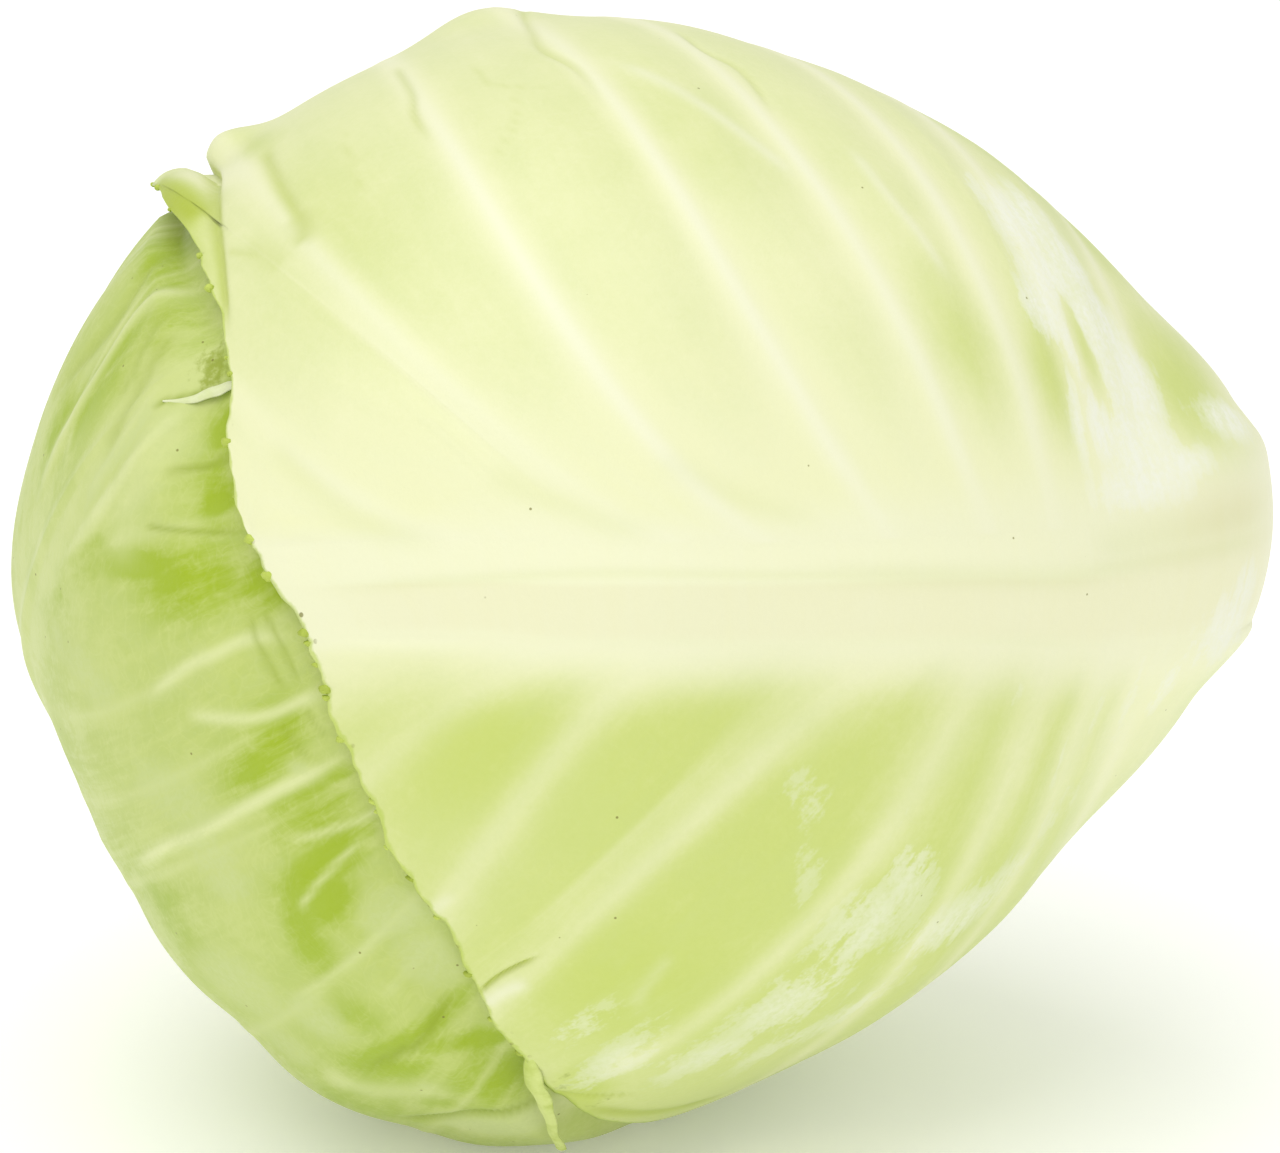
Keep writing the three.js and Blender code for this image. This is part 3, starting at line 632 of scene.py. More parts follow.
def edge_distance(base):
    """Millimetres to the margin, found along the veins and then across them."""
    across = steps_along(base, 1)
    edge = np.minimum(np.minimum(across, across[:, -1:] - across), steps_along(base, 0))
    steps = np.linalg.norm(np.diff(base, axis=0), axis=-1)
    for i in range(1, len(edge)):
        edge[i] = np.minimum(edge[i], edge[i - 1] + steps[i - 1])
    for i in range(len(edge) - 2, -1, -1):
        edge[i] = np.minimum(edge[i], edge[i + 1] + steps[i])
    return edge


def out_along_veins(net, base):
    """Millimetres out from the midrib's edge, and how far it is to the margin in all."""
    across = steps_along(base, 1)
    low, high = net.low_start, net.high_stop
    out, whole = np.zeros((2, *across.shape))
    out[:, :high] = across[:, high - 1:high] - across[:, :high]
    out[:, low:] = across[:, low:] - across[:, low:low + 1]
    whole[:, :high] = out[:, :1]
    whole[:, low:] = out[:, -1:]
    return out, whole


def vein_distance(leaf, net, base):
    """Millimetres to the nearest vein on the same side of the midrib, and its strength."""
    along = np.gradient(base, axis=1)
    step = np.gradient(base, axis=0) / np.gradient(net.t[:, 0])[:, None, None]
    length = np.maximum(np.linalg.norm(along, axis=-1), TINY)
    width = np.linalg.norm(np.cross(step, along), axis=-1) / length
    away = np.full(net.t.shape, FAR)
    strength = np.zeros(net.t.shape)
    for number, rib in enumerate(leaf.ribs):
        here = by_side(net, rib[-2:])
        gap = np.abs(net.t - number)
        nearer = (here > 0) & (gap < away) & net.blade
        away = np.where(nearer, gap, away)
        strength = np.where(nearer, here, strength)
    return away * width, strength


def line_distance(leaf, points, d):
    """Millimetres to a smooth line drawn on the chart, and the place along it from 0 to 1."""
    knots = np.array(points, float)
    u = np.linspace(0, len(knots) - 1, LINE_STEPS * (len(knots) - 1) + 1)
    ends = chart_to_dir(leaf.chart, line_at(knots[:, 0], u), line_at(knots[:, 1], u))
    nearest = np.full(d.shape[:-1], FAR)
    where = np.zeros(d.shape[:-1])
    for number, (a, b) in enumerate(zip(ends[:-1], ends[1:])):
        share = np.clip((d - a) @ (b - a) / ((b - a) @ (b - a)), 0, 1)
        gap = np.linalg.norm(d - a - share[..., None] * (b - a), axis=-1)
        closer = gap < nearest
        nearest = np.where(closer, gap, nearest)
        where = np.where(closer, (number + share) / (len(ends) - 1), where)
    return np.degrees(nearest) * MM_PER_DEGREE, where


def patch_field(leaf, net, kind):
    """1 in the middle of a patch, 0.5 on its outline, and fading to 0 outside."""
    more, less = np.zeros((2, *net.p.shape))
    for p, q, long, wide, lean, strength in leaf.patches.get(kind, ()):
        c, s = cos_sin(lean)
        x = ((net.p - p) * c + (net.q - q) * s) / long
        y = ((net.q - q) * c - (net.p - p) * s) / wide
        patch = np.exp(-PATCH_FALL * (x * x + y * y)) * strength
        more = np.maximum(more, patch)
        less = np.minimum(less, patch)
    return more + less


# ---- relief and paint, in mm

SHORT_VEIN, SHORT_PANEL = (2, 20), (2, 25)  # veins flatten between these lengths
PANEL_EDGE = 7  # a panel has risen this far from its vein
GIRTH_LOSS, HEIGHT_LOSS = 0.5, 0.85  # how much a vein thins and sinks on its way out
PALE_WIDTH, PALE_MIDRIB = 0.65, 0.4  # a vein's pale line over its girth, the midrib's paleness
ROOT_REACH, PALE_REACH = 14, 10  # the midrib's foot and its pale colour run out
CURL_REACH, FLAP_REACH = 9, 14  # a margin curls up over the first, a flap over the second
FOLD_DEPTH = (0.6, 2, 43, 49)  # groove: at least, and more between two turns
FOLD_LIFT = (0.4, 5.9, 34.5, 48)  # lift of the strip beyond it, in the same form
STRIP_WIDTH, STRIP_SQUARE = 2.9, 1.3  # how soon and how squarely the strip rises
GROOVE_PLACE, GROOVE_WIDTH = 0.2, 0.75
# how green the strip beyond the fold is, how dark the groove's painted shade is, and how far the
# cream near the midrib pales the green
STRIP_GREEN, GROOVE_SHADE, CREAM_SHARE = 0.45, 0.8, 0.92
EDGE_FAR = 12  # the paint needs the distance to the margin up to this
FLOW = (120, 12, 30)  # scale of the streaks' pattern along veins and across
BEAD_OUT, BEAD_SUNK, BEAD_WAVE = 0.2, 0.1, 0.22
BEAD_LENGTH, BEAD_WIDTH, BEAD_HEIGHT = 1.25, 0.8, 0.9  # over its size
RIBBON_STEPS, RIBBON_COLUMNS = 10, 9  # steps between its knots, points across it
RIBBON_WAVE, RIBBON_BOW = 0.12, 0.35  # over its half width
STEM_WORN, STEM_WAVES = 0.968, (0.02, 0.012)  # the core's worn sides over their outline
GREEN_MOST = 1.2  # where the deepest patches stop


def midrib_height(leaf, net):
    return leaf.midrib * smooth(-2, net.last + 1, net.t)


def midrib_edge(net):
    """The midrib's height at its own edge, as a share: it spreads flat towards the stem."""
    return 0.35 + 0.6 * smooth(0.5, 1, net.t / net.last)


def midrib_profile(net):
    """Height over the midrib's width: round above the crest line, and a kink below it."""
    s = net.s
    rounded = 1 - s * s * (3 - 2 * s)
    kinked = (1 - s) ** 2 * (1 + s)
    low = midrib_edge(net)
    return low + (1 - low) * np.where(net.below, kinked, rounded)


def calm(leaf, net):
    """0 where the leaf's corner turns over, and 1 elsewhere."""
    if not leaf.fold:
        return 1
    start, stop = leaf.fold[0], leaf.fold[-1]
    low, high = (math.degrees(math.atan2(q, p)) for p, q in (start, stop))
    return 1 - smooth(low - 3, low + 4, net.turn) * (1 - smooth(high + 2, high + 9, net.turn))


def shaded_side(net):
    """Where shade is painted: 1 on the midrib's lower face, fading below it."""
    body = (1 - smooth(0.75, 1, net.s)) * ~net.blade
    near = np.maximum(body, 0.25 * (net.side < 0) * (1 - smooth(0, 0.15, net.v)))
    return near * net.below * smooth(0, 0.6, net.t)


def by_side(net, pair):
    return np.where(net.side > 0, *pair)


def veins(leaf, net, base):
    away, strength = vein_distance(leaf, net, base)
    out, whole = out_along_veins(net, base)
    v = net.v
    girth = by_side(net, leaf.girth) * (1 - GIRTH_LOSS * v)
    height = by_side(net, leaf.vein) * smooth(0, 0.2, v) * (1 - HEIGHT_LOSS * v)
    ridge = height * bell(away, girth) * strength * smooth(*SHORT_VEIN, whole)
    swell = smooth(0, 0.35, v) * smooth(0, 0.45, 1 - v) * smooth(*SHORT_PANEL, whole)
    panel = leaf.pillow * (1 - bell(away, PANEL_EDGE)) * swell * calm(leaf, net)
    root = midrib_height(leaf, net) * midrib_edge(net) * (1 - smooth(0, ROOT_REACH, out))
    body = midrib_height(leaf, net) * midrib_profile(net)
    relief = np.where(net.blade, ridge + panel + root, body)
    fading = (1 - smooth(0.5, 1, v)) * (0.5 + 0.5 * smooth(0, 0.15, v))
    tone = by_side(net, leaf.tone) * fading * strength
    foot = PALE_MIDRIB * (1 - smooth(0, PALE_REACH, out))
    line = bell(away, girth * PALE_WIDTH) * tone
    rib = np.where(net.blade, foot + (1 - foot) * line, PALE_MIDRIB)
    width = by_side(net, [np.interp(v, (0, 0.35, 1), widths) for widths in leaf.halo])
    return relief, rib, np.where(net.blade, bell(away, width) * np.minimum(1, 0.3 + strength), 0)


def cream(leaf, net):
    """1 beside the midrib, fading to 0 out on the panels."""
    crest = [(rib[0], crest_at(leaf, float(k))) for k, rib in enumerate(leaf.ribs)]
    away, _ = line_distance(leaf, crest, net.dir)
    near, below, above = leaf.cream
    far = np.where(net.below, below, above)
    return 1 - smooth(near * 0.6, far, away)


def marks(leaf, net):
    """Relief of the lines drawn on the leaf, how much painted shade darkens it, and how much they
    lighten it.
    """
    relief, shade_marks, pale = np.zeros((3, *net.p.shape))
    for points, width, height, tone in leaf.lines:
        away, place_on = line_distance(leaf, points, net.dir)
        ends = smooth(0, 0.16, place_on) * smooth(0, 0.25, 1 - place_on)
        line = bell(away, width) * ends
        relief += height * line
        shade_marks = np.maximum(shade_marks, line * max(tone, 0))
        pale = np.maximum(pale, line * max(-tone, 0))
    return relief, shade_marks, pale


def turned_corner(leaf, net):
    """A crease where the margin's corner folds, and the rolled strip beyond, lifting at its end."""
    if not leaf.fold:
        return np.zeros((3, *net.p.shape))
    x, _ = line_distance(leaf, leaf.fold, net.dir)
    turn = net.turn
    fold_p, fold_q = np.array(leaf.fold).T
    fold_turn, fold_arc = np.degrees(np.arctan2(fold_q, fold_p)), np.hypot(fold_p, fold_q)
    beyond = np.hypot(net.p, net.q) > np.interp(turn, fold_turn, fold_arc)
    outside = beyond & (turn < fold_turn[-1])
    near = smooth(fold_turn[0] - 1, fold_turn[0] + 4, turn)
    depth, lift = (
        least + more * smooth(low, high, turn) for least, more, low, high in (FOLD_DEPTH, FOLD_LIFT)
    )
    strip = near * outside * (1 - np.exp(-((x / STRIP_WIDTH) ** STRIP_SQUARE)))
    groove = near * bell(x - GROOVE_PLACE, GROOVE_WIDTH)
    return lift * strip - depth * groove, groove, strip


def leaf_curl(leaf, net, base):
    """The margin's lift off the leaf below, over its last few millimetres."""
    wave = leaf.curl * (0.55 + 0.45 * np.sin(net.turn * 0.16))
    edge = edge_distance(base)
    rise = leaf.flap[2] * flap_at(leaf, net.turn) * (1 - smooth(0, FLAP_REACH, edge))
    free = calm(leaf, net) * (1 - smooth(net.last - 2, net.last - 0.5, net.t))
    return wave * (1 - smooth(0, CURL_REACH, edge)) * free + rise * net.blade


# ---- meshes


def grid_faces(ids):
    a, b, c, d = ids[:-1, :-1], ids[:-1, 1:], ids[1:, 1:], ids[1:, :-1]
    return np.stack([a.ravel(), b.ravel(), c.ravel(), d.ravel()], -1)


def outline_loop(ids):
    return np.concatenate([ids[:-1, 0], ids[-1, :-1], ids[:0:-1, -1], ids[0, :0:-1]])


def two_skins(outer, inner):
    """Points and faces of a skin and the one under it, and the outlines of both."""
    top, under = (np.arange(grid[..., 0].size).reshape(grid.shape[:2]) for grid in (outer, inner))
    under += top.size
    faces = grid_faces(top).tolist() + grid_faces(under)[:, ::-1].tolist()
    return stacked(outer, inner), faces, outline_loop(top), outline_loop(under)


def rim_faces(fine, coarse):
    """Triangles between the outer skin's outline and the inner skin's coarser one."""
    faces = []
    ratio = len(fine) // len(coarse)
    for k, start in enumerate(coarse):
        stop = coarse[(k + 1) % len(coarse)]
        run = [fine[(k * ratio + j) % len(fine)] for j in range(ratio + 1)]
        half = ratio // 2
        faces += [(run[j], run[j + 1], start) for j in range(half)]
        faces.append((start, run[half], stop))
        faces += [(run[j], run[j + 1], stop) for j in range(half, ratio)]
    return faces


def add_object(name, data):
    thing = bpy.data.objects.new(name, data)
    bpy.context.collection.objects.link(thing)
    return thing


def mesh_piece(name, points, faces, **attributes):
    """A mesh from points in mm, kept inside the packed solids' box."""
    mesh = bpy.data.meshes.new(name)
    inside = np.clip(points * MM, CAD_LOW, CAD_HIGH)
    mesh.from_pydata(inside.tolist(), [], faces)
    for key, values in attributes.items():
        kind, slot = ("FLOAT_VECTOR", "vector") if values.ndim == 2 else ("FLOAT", "value")
        layer = mesh.attributes.new(key, kind, "POINT")
        layer.data.foreach_set(slot, values.astype(np.float32).ravel())
    mesh.polygons.foreach_set("use_smooth", [True] * len(mesh.polygons))
    mesh.update()
    piece = add_object(name, mesh)
    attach(piece, "root")
    return piece


def build_leaf(leaf):
    net = leaf_net(leaf)
    d = net.dir
    depth, covered = buried(leaf, d)
    bare = 1 - covered
    skin = skin_radius(d) - depth
    base = d * skin[..., None]
    relief, rib, halo = veins(leaf, net, base)
    drawn, shade_marks, pale = marks(leaf, net)
    folded, groove, strip = turned_corner(leaf, net)
    skin = skin + (leaf_curl(leaf, net, base) + folded) * bare
    outer = place(d, skin + (relief + drawn) * bare, depth)
    inner = place(d, skin - leaf.thickness, depth + leaf.thickness)[::COARSE, ::COARSE]
    points, faces, rim, low = two_skins(outer, inner)
    faces += rim_faces(rim, low)
    faded = 1 - leaf.fade * np.maximum(smooth(0.4, 1, net.v), smooth(0.6, 0.8, net.t / net.last))
    # the blade below the midrib is greener than above it: partly its own colour, partly painted
    # light, the upper half paler where it faces the lamps
    level = np.where(net.below, leaf.green[0] * faded, leaf.green[1])
    deep = patch_field(leaf, net, "green")
    veiled = 1 - by_side(net, leaf.clear) * halo
    green = level * veiled * (1 - CREAM_SHARE * cream(leaf, net)) + deep + STRIP_GREEN * strip
    film = np.maximum(patch_field(leaf, net, "wax"), leaf.film) - patch_field(leaf, net, "worn")
    fields = {
        "green": np.clip(green, 0, GREEN_MOST),
        "rib": np.maximum(rib, pale),
        # painted shade: the dark lines, and the groove where the corner folds
        "shade_marks": np.maximum(shade_marks, GROOVE_SHADE * groove),
        # beige patches, and painted shade on the midrib's lower face
        "tan": np.maximum(patch_field(leaf, net, "tan"), leaf.shade * shaded_side(net)),
        "wax": np.clip(film - leaf.film * 2 * np.maximum(deep, 0), 0, 1),
        # bruises, and painted shade under the front leaf's lower margin
        "bruise": patch_field(leaf, net, "bruise"),
        "edge": np.minimum(edge_distance(base), EDGE_FAR),
        "flow": np.stack([net.v * net.side, net.t, net.side], -1) * FLOW,
    }
    piece = mesh_piece(leaf.name + "_fine", points, faces, **{
        key: stacked(values, values[::COARSE, ::COARSE]) for key, values in fields.items()
    })
    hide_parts(leaf.name)
    return piece


def on_leaf(leaf, p, q, lift):
    """Points over a leaf's outer face, and the way out from it."""
    d = chart_to_dir(leaf.chart, np.asarray(p, float), np.asarray(q, float))
    depth, _ = buried(leaf, d)
    radius = skin_radius(d) - depth + lift
    here = place(d, radius, depth)
    return here, unit(place(d, radius + 1, depth) - here + TINY)


def tube_faces(ids):
    """Faces round a tube, from one ring of ids to the next."""
    return grid_faces(np.concatenate([ids, ids[:, :1]], 1))[:, ::-1].tolist()


def nodule_beads(leaf):
    """Small knobs along the margin."""
    rings, sides = 6, 10
    down = np.arange(1, rings)[:, None] * np.pi / rings
    round_it = np.arange(sides) * 2 * np.pi / sides
    points, faces = [], []
    for number, (turn, size) in enumerate(leaf.nodules):
        turn = np.array([float(turn)])
        arc = margin_arc(leaf, turn) + BEAD_OUT
        p, q = arc * cos_sin(turn)
        spot = Record(p=p, q=q, turn=turn, dir=chart_to_dir(leaf.chart, p, q))
        middle, out = (v[0] for v in on_leaf(leaf, p, q, turned_corner(leaf, spot)[0] - BEAD_SUNK))
        side = unit(np.cross(out, (0.3, 0.5, 0.8)))
        along = np.cross(out, side)
        spread = 1 + BEAD_WAVE * np.sin(3 * round_it + 2 * number) * np.sin(2 * down + number)
        spread = (size * spread * np.sin(down))[..., None]
        ball = middle + out * size * BEAD_HEIGHT * np.cos(down)[..., None] + spread * (
            BEAD_LENGTH * side * np.cos(round_it)[:, None]
            + BEAD_WIDTH * along * np.sin(round_it)[:, None]
        )
        top = number * (ball.size // 3 + 2)
        bottom = top + ball.size // 3 + 1
        ids = np.arange(top + 1, bottom).reshape(-1, sides)
        points += [[middle + out * size], ball.reshape(-1, 3), [middle - out * size]]
        faces += tube_faces(ids)
        for start, stop in zip(ids[[0, -1]].T.tolist(), np.roll(ids[[0, -1]], -1, 1).T.tolist()):
            faces += [(top, start[0], stop[0]), (start[1], bottom, stop[1])]
    return mesh_piece(leaf.name + "_nodules", np.concatenate(points), faces)


def build_stem():
    """The core, and its cut end with a sunk middle."""
    sides = 96
    turn = np.arange(sides) * 2 * np.pi / sides
    rows = []
    shares = []
    for along, radius in STEM_OUTLINE:
        cut_face = along > STEM_OUTER - 3 and radius < STEM_RADIUS - 0.5
        broad, narrow = np.sin(7 * turn + 0.06 * along), np.sin(19 * turn + 0.3 * along)
        worn = STEM_WORN - STEM_WAVES[0] * broad - STEM_WAVES[1] * narrow
        ring = radius * (1 if cut_face else worn)
        sunk = 0.12 * np.sin(5 * turn + radius) * (radius / STEM_RADIUS) if cut_face else 0 * turn
        rows.append(np.stack([along - np.abs(sunk), ring * np.cos(turn), ring * np.sin(turn)], -1))
        shares.append(np.full((sides, 2), (radius / STEM_RADIUS, float(cut_face))))
    local = np.array(rows)
    d = local[..., 0:1] * STEM_DIR + local[..., 1:2] * FRONT_DIR + local[..., 2:3] * TOP_DIR
    distance = np.linalg.norm(d, axis=-1)
    points = place(unit(d), distance, 0)
    ids = np.arange(points.shape[0] * sides).reshape(-1, sides)
    faces = tube_faces(ids) + [ids[0].tolist(), ids[-1][::-1].tolist()]
    shares = np.concatenate(shares).T
    piece = mesh_piece("stem_fine", points.reshape(-1, 3), faces, ring=shares[0], cut=shares[1])
    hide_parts("stem")
    return piece


def ribbon(name, leaf, path):
    """A thin strip of leaf lying over a path of (p, q, lift, half width, thickness)."""
    knots = np.array(path, float)
    u = np.linspace(0, len(knots) - 1, RIBBON_STEPS * (len(knots) - 1) + 1)
    p, q, lift, half, thick = (line_at(knots[:, k], u) for k in range(5))
    middle, out = on_leaf(leaf, p, q, lift)
    ahead = unit(np.gradient(middle, axis=0))
    side = unit(np.cross(ahead, out))
    out = np.cross(side, ahead)
    across = np.linspace(-1, 1, RIBBON_COLUMNS)
    edge = 1 + RIBBON_WAVE * np.sin(u * 5)[:, None] * np.sign(across)
    spread = across * half[:, None] * edge
    bow = (1 - across**2) * half[:, None] * RIBBON_BOW
    top = middle[:, None] + side[:, None] * spread[..., None] + out[:, None] * bow[..., None]
    body = np.sqrt(np.maximum(1 - across**2, 0.04)) * thick[:, None]
    bottom = top - out[:, None] * body[..., None]
    points, faces, rim, low = two_skins(top, bottom)
    faces += np.stack([np.roll(rim, -1), rim, low, np.roll(low, -1)], -1).tolist()
    return mesh_piece(name, points, faces)


# ---- materials


class Shader:
    """A small helper that makes and links shader nodes."""

    def __init__(self, name):
        self.material = bpy.data.materials.new(name)
        self.material.use_nodes = True
        self.tree = self.material.node_tree
        self.tree.nodes.clear()
        out = self.node("OutputMaterial")
        self.skin = self.node("BsdfPrincipled")
        self.link(self.skin.outputs["BSDF"], out.inputs["Surface"])

    def node(self, kind, inputs=(), **settings):
        """A node with its settings made and its inputs linked or set, by place or name."""
        node = self.tree.nodes.new("ShaderNode" + kind)
        for key, value in settings.items():
            setattr(node, key, value)
        for key, value in dict(inputs).items():
            self.link(value, node.inputs[key])
        return node

    def link(self, value, socket):
        if isinstance(value, bpy.types.NodeSocket):
            self.tree.links.new(value, socket)
        else:
            socket.default_value = value

    def finish(self, inputs):
        """The material, once its surface has these inputs."""
        for name, value in inputs.items():
            self.link(value, self.skin.inputs[name])
        return self.material

    def attribute(self, name, output="Fac"):
        return self.node("Attribute", attribute_name=name).outputs[output]

    def place(self):
        return self.node("TexCoord").outputs["Object"]

    def stretch(self, vector, scale):
        return self.node("Mapping", {"Vector": vector, "Scale": scale}).outputs[0]

    def math(self, operation, a, b=0, c=0):
        return self.node("Math", enumerate((a, b, c)), operation=operation).outputs[0]

    def times(self, a, b):
        return self.math("MULTIPLY", a, b)

    def total(self, first, *rest):
        """first plus each (value, weight) pair."""
        for value, weight in rest:
            first = self.math("MULTIPLY_ADD", value, weight, first)
        return first

    def shifted(self, vector, value, weight):
        """vector moved by a noise colour times a weight."""
        terms = enumerate((value, [weight] * 3, vector))
        return self.node("VectorMath", terms, operation="MULTIPLY_ADD").outputs[0]

    def ramp(self, x, low, high, to_low=0, to_high=1):
        values = enumerate((x, low, high, to_low, to_high))
        return self.node("MapRange", values, interpolation_type="SMOOTHSTEP").outputs[0]

    def noise(self, vector, scale, detail, roughness, output="Fac"):
        inputs = {"Vector": vector, "Scale": scale, "Detail": detail, "Roughness": roughness}
        return self.node("TexNoise", inputs).outputs[output]

    def cells(self, vector, scale, feature="F1"):
        return self.node("TexVoronoi", {"Vector": vector, "Scale": scale}, feature=feature)

    def mix(self, share, a, b):
        a, b = (v if isinstance(v, bpy.types.NodeSocket) else (*v, 1) for v in (a, b))
        return self.node("Mix", {0: share, 6: a, 7: b}, data_type="RGBA").outputs[2]

    def bump(self, height, distance, strength):
        inputs = {"Strength": strength, "Distance": distance, "Height": height}
        return self.node("Bump", inputs).outputs["Normal"]


def specks(sh, where, scale, size, share):
    """Small dots in a share of the cells."""
    cell = sh.cells(where, scale)
    pick = sh.ramp(cell.outputs["Color"], 1 - share, 1 - share + 0.01)
    return sh.times(pick, sh.ramp(cell.outputs["Distance"], size, size * 0.6))


# colour of bruises and of painted shade
BRUISE_AND_SHADE = (0.28, 0.35, 0.02)
SPECK = (0.2, 0.19, 0.03)


def leaf_material(name, tint):
    sh = Shader(name)
    where = sh.place()
    flow = sh.attribute("flow", "Vector")
    mottle = sh.noise(where, 55, 5, 0.65)
    fine = sh.noise(where, 420, 3, 0.6)
    lace = sh.noise(where, 1100, 2, 0.6)
    streak = sh.noise(sh.stretch(flow, (0.05, 0.55, 1)), 1, 4, 0.65)
    bent = sh.shifted(flow, sh.noise(where, 90, 2, 0.5, "Color"), 14)
    net = sh.cells(sh.stretch(bent, (0.16, 0.22, 1)), 1, "DISTANCE_TO_EDGE").outputs["Distance"]
    mesh = sh.ramp(net, 0, 0.08, 1, 0)

    least, most = 1 - tint.patchy, 1 + tint.patchy / 2
    uneven = sh.ramp(sh.total(streak, (mottle, 1)), 0.75, 1.25, least, most)
    green = sh.times(sh.attribute("green"), uneven)
    green = sh.total(green, (mottle, tint.mottle), (streak, tint.streak), (lace, tint.grain))
    green = sh.math("ADD", green, -0.5 * (tint.mottle + tint.streak + tint.grain))
    green = sh.math("MULTIPLY_ADD", mesh, -tint.net, green)
    colour = sh.mix(sh.ramp(green, 0, 1.1), tint.pale, tint.green)
    colour = sh.mix(sh.times(sh.attribute("rib"), 0.75), colour, tint.rib)

    cover = sh.total(sh.attribute("wax"), (streak, 1), (mottle, 0.7), (fine, 0.5))
    cover = sh.total(cover, (lace, tint.lace))
    middle = 1.6 + 0.5 * tint.lace
    film = sh.ramp(cover, middle - tint.wax_edge, middle + tint.wax_edge)
    thin, thick = tint.wax_share - 0.2, tint.wax_share + 0.15
    scuff = sh.ramp(sh.total(streak, (lace, 0.7)), 0.65, 1.05, thin, thick)
    # beige patches, and painted shade on the midrib's lower face
    colour = sh.mix(sh.times(sh.attribute("tan"), 0.8), colour, tint.tan)
    opaque = sh.times(scuff, sh.ramp(sh.attribute("wax"), 0.35, 0.95, 0.26, 1.1))
    colour = sh.mix(sh.times(film, opaque), colour, tint.wax)
    haze = sh.ramp(sh.total(mottle, (streak, 0.8)), 0.75, 1.1, 0, tint.haze)
    colour = sh.mix(haze, colour, tint.wax)

    # painted shade in creases, grooves, cracks and hollows
    colour = sh.mix(sh.times(sh.attribute("shade_marks"), 0.8), colour, tint.crease)
    # bruises, and painted shade under the front leaf's lower margin
    bruise = sh.ramp(sh.total(lace, (fine, 1.4), (sh.attribute("bruise"), 1.7)), 1.7, 2.3, 0, 0.8)
    colour = sh.mix(bruise, colour, BRUISE_AND_SHADE)
    rim = sh.ramp(sh.total(sh.attribute("edge"), (fine, 1.6)), 1, 1.7, 1, 0)
    colour = sh.mix(sh.times(rim, 0.7), colour, tint.rim)
    margin = sh.ramp(sh.attribute("edge"), 1, 1.8, 1, 0)
    dots = sh.times(specks(sh, where, 700, 0.3, 0.35), sh.times(margin, sh.ramp(mottle, 0.45, 0.6)))
    dots = sh.math("MAXIMUM", dots, specks(sh, where, 300, 0.07, tint.specks))
    colour = sh.mix(sh.times(dots, 0.8), colour, SPECK)

    grain = sh.total(lace, (fine, 0.6), (mesh, tint.net))
    return sh.finish({
        "Base Color": colour,
        "Normal": sh.bump(grain, 0.00014, 0.4),
        "Roughness": sh.ramp(film, 0, 1, 0.4, 0.55),
        "Specular IOR Level": 0.3,
    })


def stem_material():
    sh = Shader("stem_skin")
    where = sh.place()
    grain = sh.noise(where, 240, 5, 0.65)
    blotch = sh.noise(where, 70, 3, 0.6)
    colour = sh.mix(sh.ramp(grain, 0.35, 0.65), (0.84, 0.81, 0.6), (0.74, 0.7, 0.46))
    woody = sh.math("ABSOLUTE", sh.math("SUBTRACT", sh.attribute("ring"), 0.78))
    woody = sh.times(sh.ramp(woody, 0, 0.09, 1, 0), sh.attribute("cut"))
    colour = sh.mix(sh.times(woody, 0.6), colour, (0.52, 0.55, 0.24))
    dried = sh.ramp(sh.total(blotch, (grain, 0.5), (sh.attribute("cut"), 0.06)), 0.82, 1.02, 0, 0.7)
    colour = sh.mix(dried, colour, (0.5, 0.4, 0.21))
    rough = sh.bump(sh.total(grain, (blotch, 0.6)), 0.0006, 0.6)
    return sh.finish({"Base Color": colour, "Normal": rough, "Roughness": 0.75})


def flesh_material(name, light, deep):
    sh = Shader(name)
    grain = sh.noise(sh.place(), 160, 6, 0.6)
    colour = sh.mix(sh.ramp(grain, 0.35, 0.65), light, deep)
    rough = sh.bump(grain, 0.0004, 0.5)
    return sh.finish({"Base Color": colour, "Normal": rough, "Roughness": 0.6})


# ---- build

FRONT_TINT = Record(
    pale=(0.81, 0.825, 0.5),
    green=(0.55, 0.64, 0.15),
    rib=(0.86, 0.86, 0.69),
    wax=(0.85, 0.865, 0.74),
    crease=(0.42, 0.51, 0.04),
    tan=(0.76, 0.73, 0.45),
    rim=(0.46, 0.58, 0.08),
    mottle=0.4,
    streak=0.15,
    grain=0.1,
    net=0.02,
    lace=0.28,
    wax_edge=0.09,
    wax_share=0.66,
    haze=0.08,
    patchy=0.08,
    specks=0.2,
)
BACK_TINT = Record(
    pale=(0.54, 0.62, 0.19),
    green=(0.34, 0.465, 0.012),
    rib=(0.7, 0.75, 0.36),
    wax=(0.57, 0.645, 0.27),
    crease=(0.28, 0.37, 0.02),
    tan=(0.6, 0.6, 0.26),
    rim=(0.46, 0.58, 0.08),
    mottle=0.6,
    streak=0.5,
    grain=0.25,
    net=0.1,
    lace=0.3,
    wax_edge=0.17,
    wax_share=0.7,
    haze=0.08,
    patchy=0.35,
    specks=0.35,
)
TOP_TINT = Record(**vars(BACK_TINT) | dict(pale=(0.7, 0.76, 0.38), green=(0.5, 0.6, 0.12)))

for each, slot, tint in (
    (FRONT_LEAF, "outer_leaf", FRONT_TINT),
    (BACK_LEAF, "crown_leaf", BACK_TINT),
    (TOP_LEAF, "inner_leaf", TOP_TINT),
):
    leaf_piece = build_leaf(each)
    leaf_piece.data.materials.append(leaf_material(each.name + "_skin", tint))

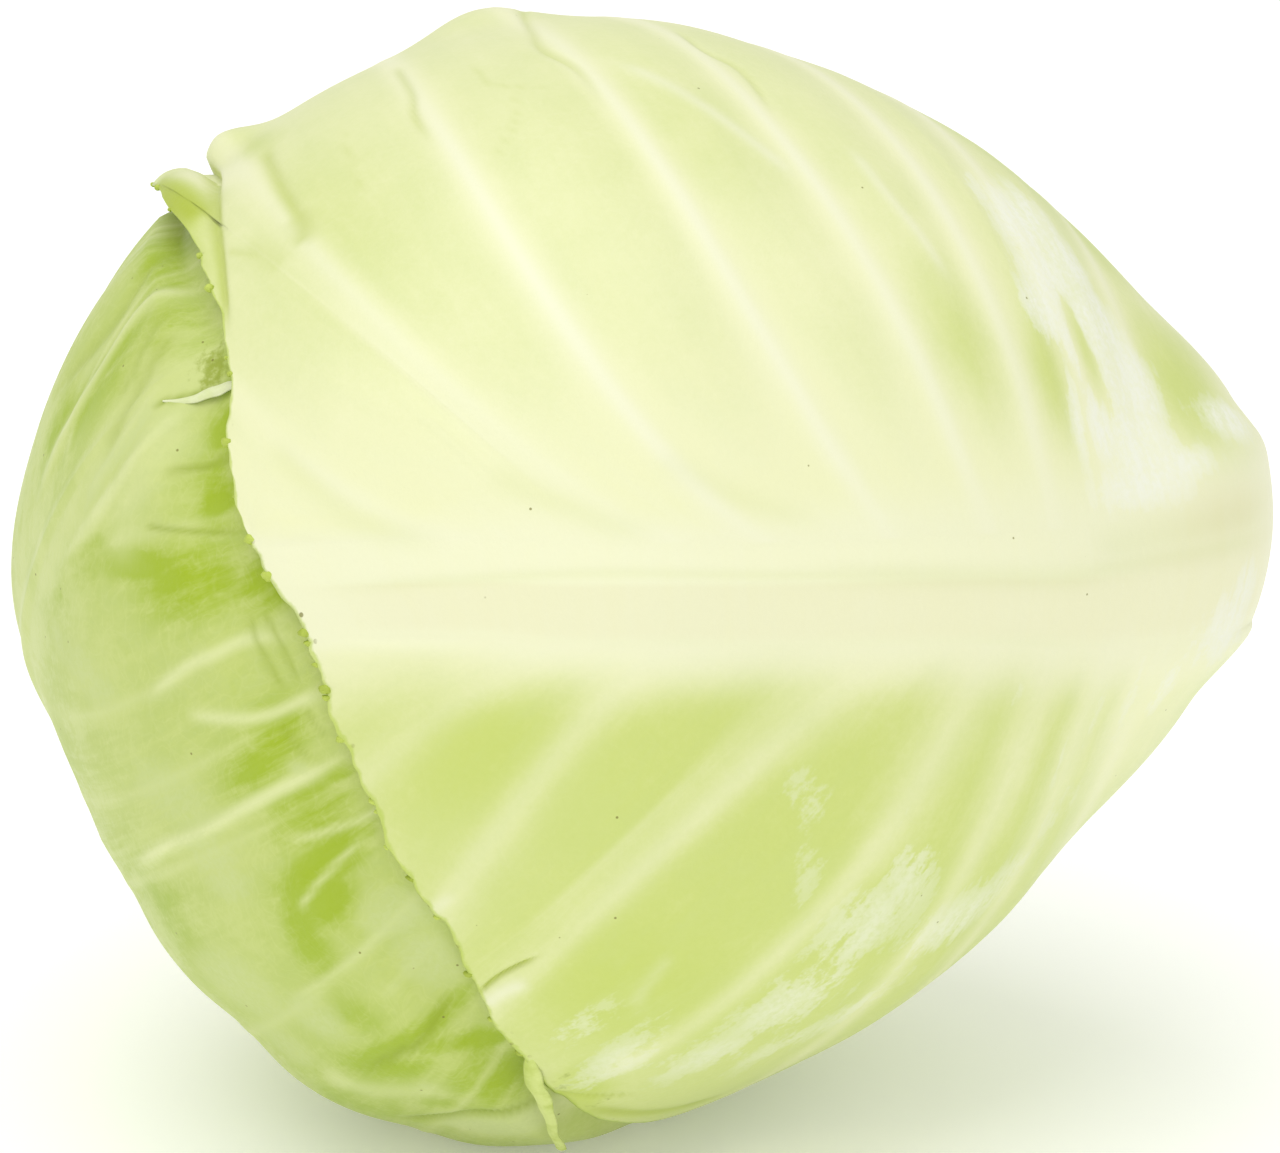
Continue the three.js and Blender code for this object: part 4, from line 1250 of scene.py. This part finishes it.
SHRED = [
    (26, -54.5, 0.2, 0.5, 0.5), (25.8, -58, 0.6, 1.3, 0.6), (24.6, -62.5, 0.8, 1.3, 0.6),
    (23.4, -67, 1.2, 0.95, 0.6), (22.4, -72, 1.8, 0.75, 0.6), (20.8, -77, 2.8, 0.75, 0.6),
]
SLIVER = [
    (105, 4, 0.1, 0.12, 0.5), (107, 6.8, 0.5, 0.45, 0.6), (109, 8.2, 0.8, 0.75, 0.6),
    (111, 9.6, 0.8, 0.8, 0.6), (112.6, 11, 0.4, 0.4, 0.5),
]
beads = nodule_beads(FRONT_LEAF)
shred = ribbon("torn_shred", FRONT_LEAF, SHRED)
sliver = ribbon("loose_sliver", BACK_LEAF, SLIVER)
for piece, skin, light, deep in (
    (beads, "nodule_skin", (0.52, 0.63, 0.1), (0.33, 0.42, 0.03)),
    (shred, "shred_skin", (0.66, 0.74, 0.26), (0.5, 0.6, 0.12)),
    (sliver, "sliver_skin", (0.77, 0.8, 0.53), (0.66, 0.73, 0.35)),
    (bpy.data.objects["heart"], "heart_skin", (0.86, 0.86, 0.6), (0.72, 0.78, 0.42)),
):
    piece.data.materials.clear()
    piece.data.materials.append(flesh_material(skin, light, deep))
stem_piece = build_stem()
stem_piece.data.materials.append(stem_material())

# ---- table, light and camera

TABLE = 4  # half the width of the table top
VIEW_DISTANCE = 0.9  # camera to the middle of the head
LENS, SENSOR = 177.9, 36  # in mm
CLIP = (0.05, 20)
WHITE = (1, 1, 1, 1)
TABLE_WHITE = (0.95, 0.95, 0.95, 1)
TABLE_GLOW = 0.17  # lifts the table towards the white behind it
SKY = 0.72
LAMPS = [  # name, place and size in m, watts
    ("top_softbox", (-0.4, -0.4, 2.4), 2.4, 27.2),
    ("front_fill", (0.3, -1.8, 0.9), 1.4, 3.9),
]
MIDDLE = Vector((-ORIGIN[0], -ORIGIN[1], -REST_LEVEL)) * MM


def aim(thing, spot):
    """Puts a lamp or the camera on a spot, turned to the middle of the head."""
    thing.location = spot
    thing.rotation_mode = "QUATERNION"
    thing.rotation_quaternion = (MIDDLE - spot).to_track_quat("-Z", "Y")


def add_light(name, spot, size, watts):
    light = bpy.data.lights.new(name, "AREA")
    light.shape = "SQUARE"
    light.size = size
    light.energy = watts
    aim(add_object(name, light), Vector(spot))


table_mesh = bpy.data.meshes.new("table_top")
corners = [(-TABLE, -TABLE, 0), (TABLE, -TABLE, 0), (TABLE, TABLE, 0), (-TABLE, TABLE, 0)]
table_mesh.from_pydata(corners, [], [(0, 1, 2, 3)])
table_mesh.materials.append(Shader("table_paint").finish({
    "Base Color": TABLE_WHITE,
    "Roughness": 0.9,
    "Specular IOR Level": 0.1,
    "Emission Color": WHITE,
    "Emission Strength": TABLE_GLOW,
}))
floor = add_object("table_top", table_mesh)

world = bpy.data.worlds.new("studio")
world.use_nodes = True
sky = world.node_tree.nodes["Background"]
sky.inputs["Color"].default_value = WHITE
sky.inputs["Strength"].default_value = SKY
bpy.context.scene.world = world
for lamp_settings in LAMPS:
    add_light(*lamp_settings)

lens = bpy.data.cameras.new("camera")
lens.lens = LENS
lens.sensor_width = SENSOR
lens.clip_start, lens.clip_end = CLIP
camera = add_object("camera", lens)
level, tilt = cos_sin(HEAD_ROLL)
aim(camera, MIDDLE + Vector((0, -level, tilt)) * VIEW_DISTANCE)
bpy.context.scene.camera = camera
bpy.context.scene.view_settings.view_transform = "Standard"
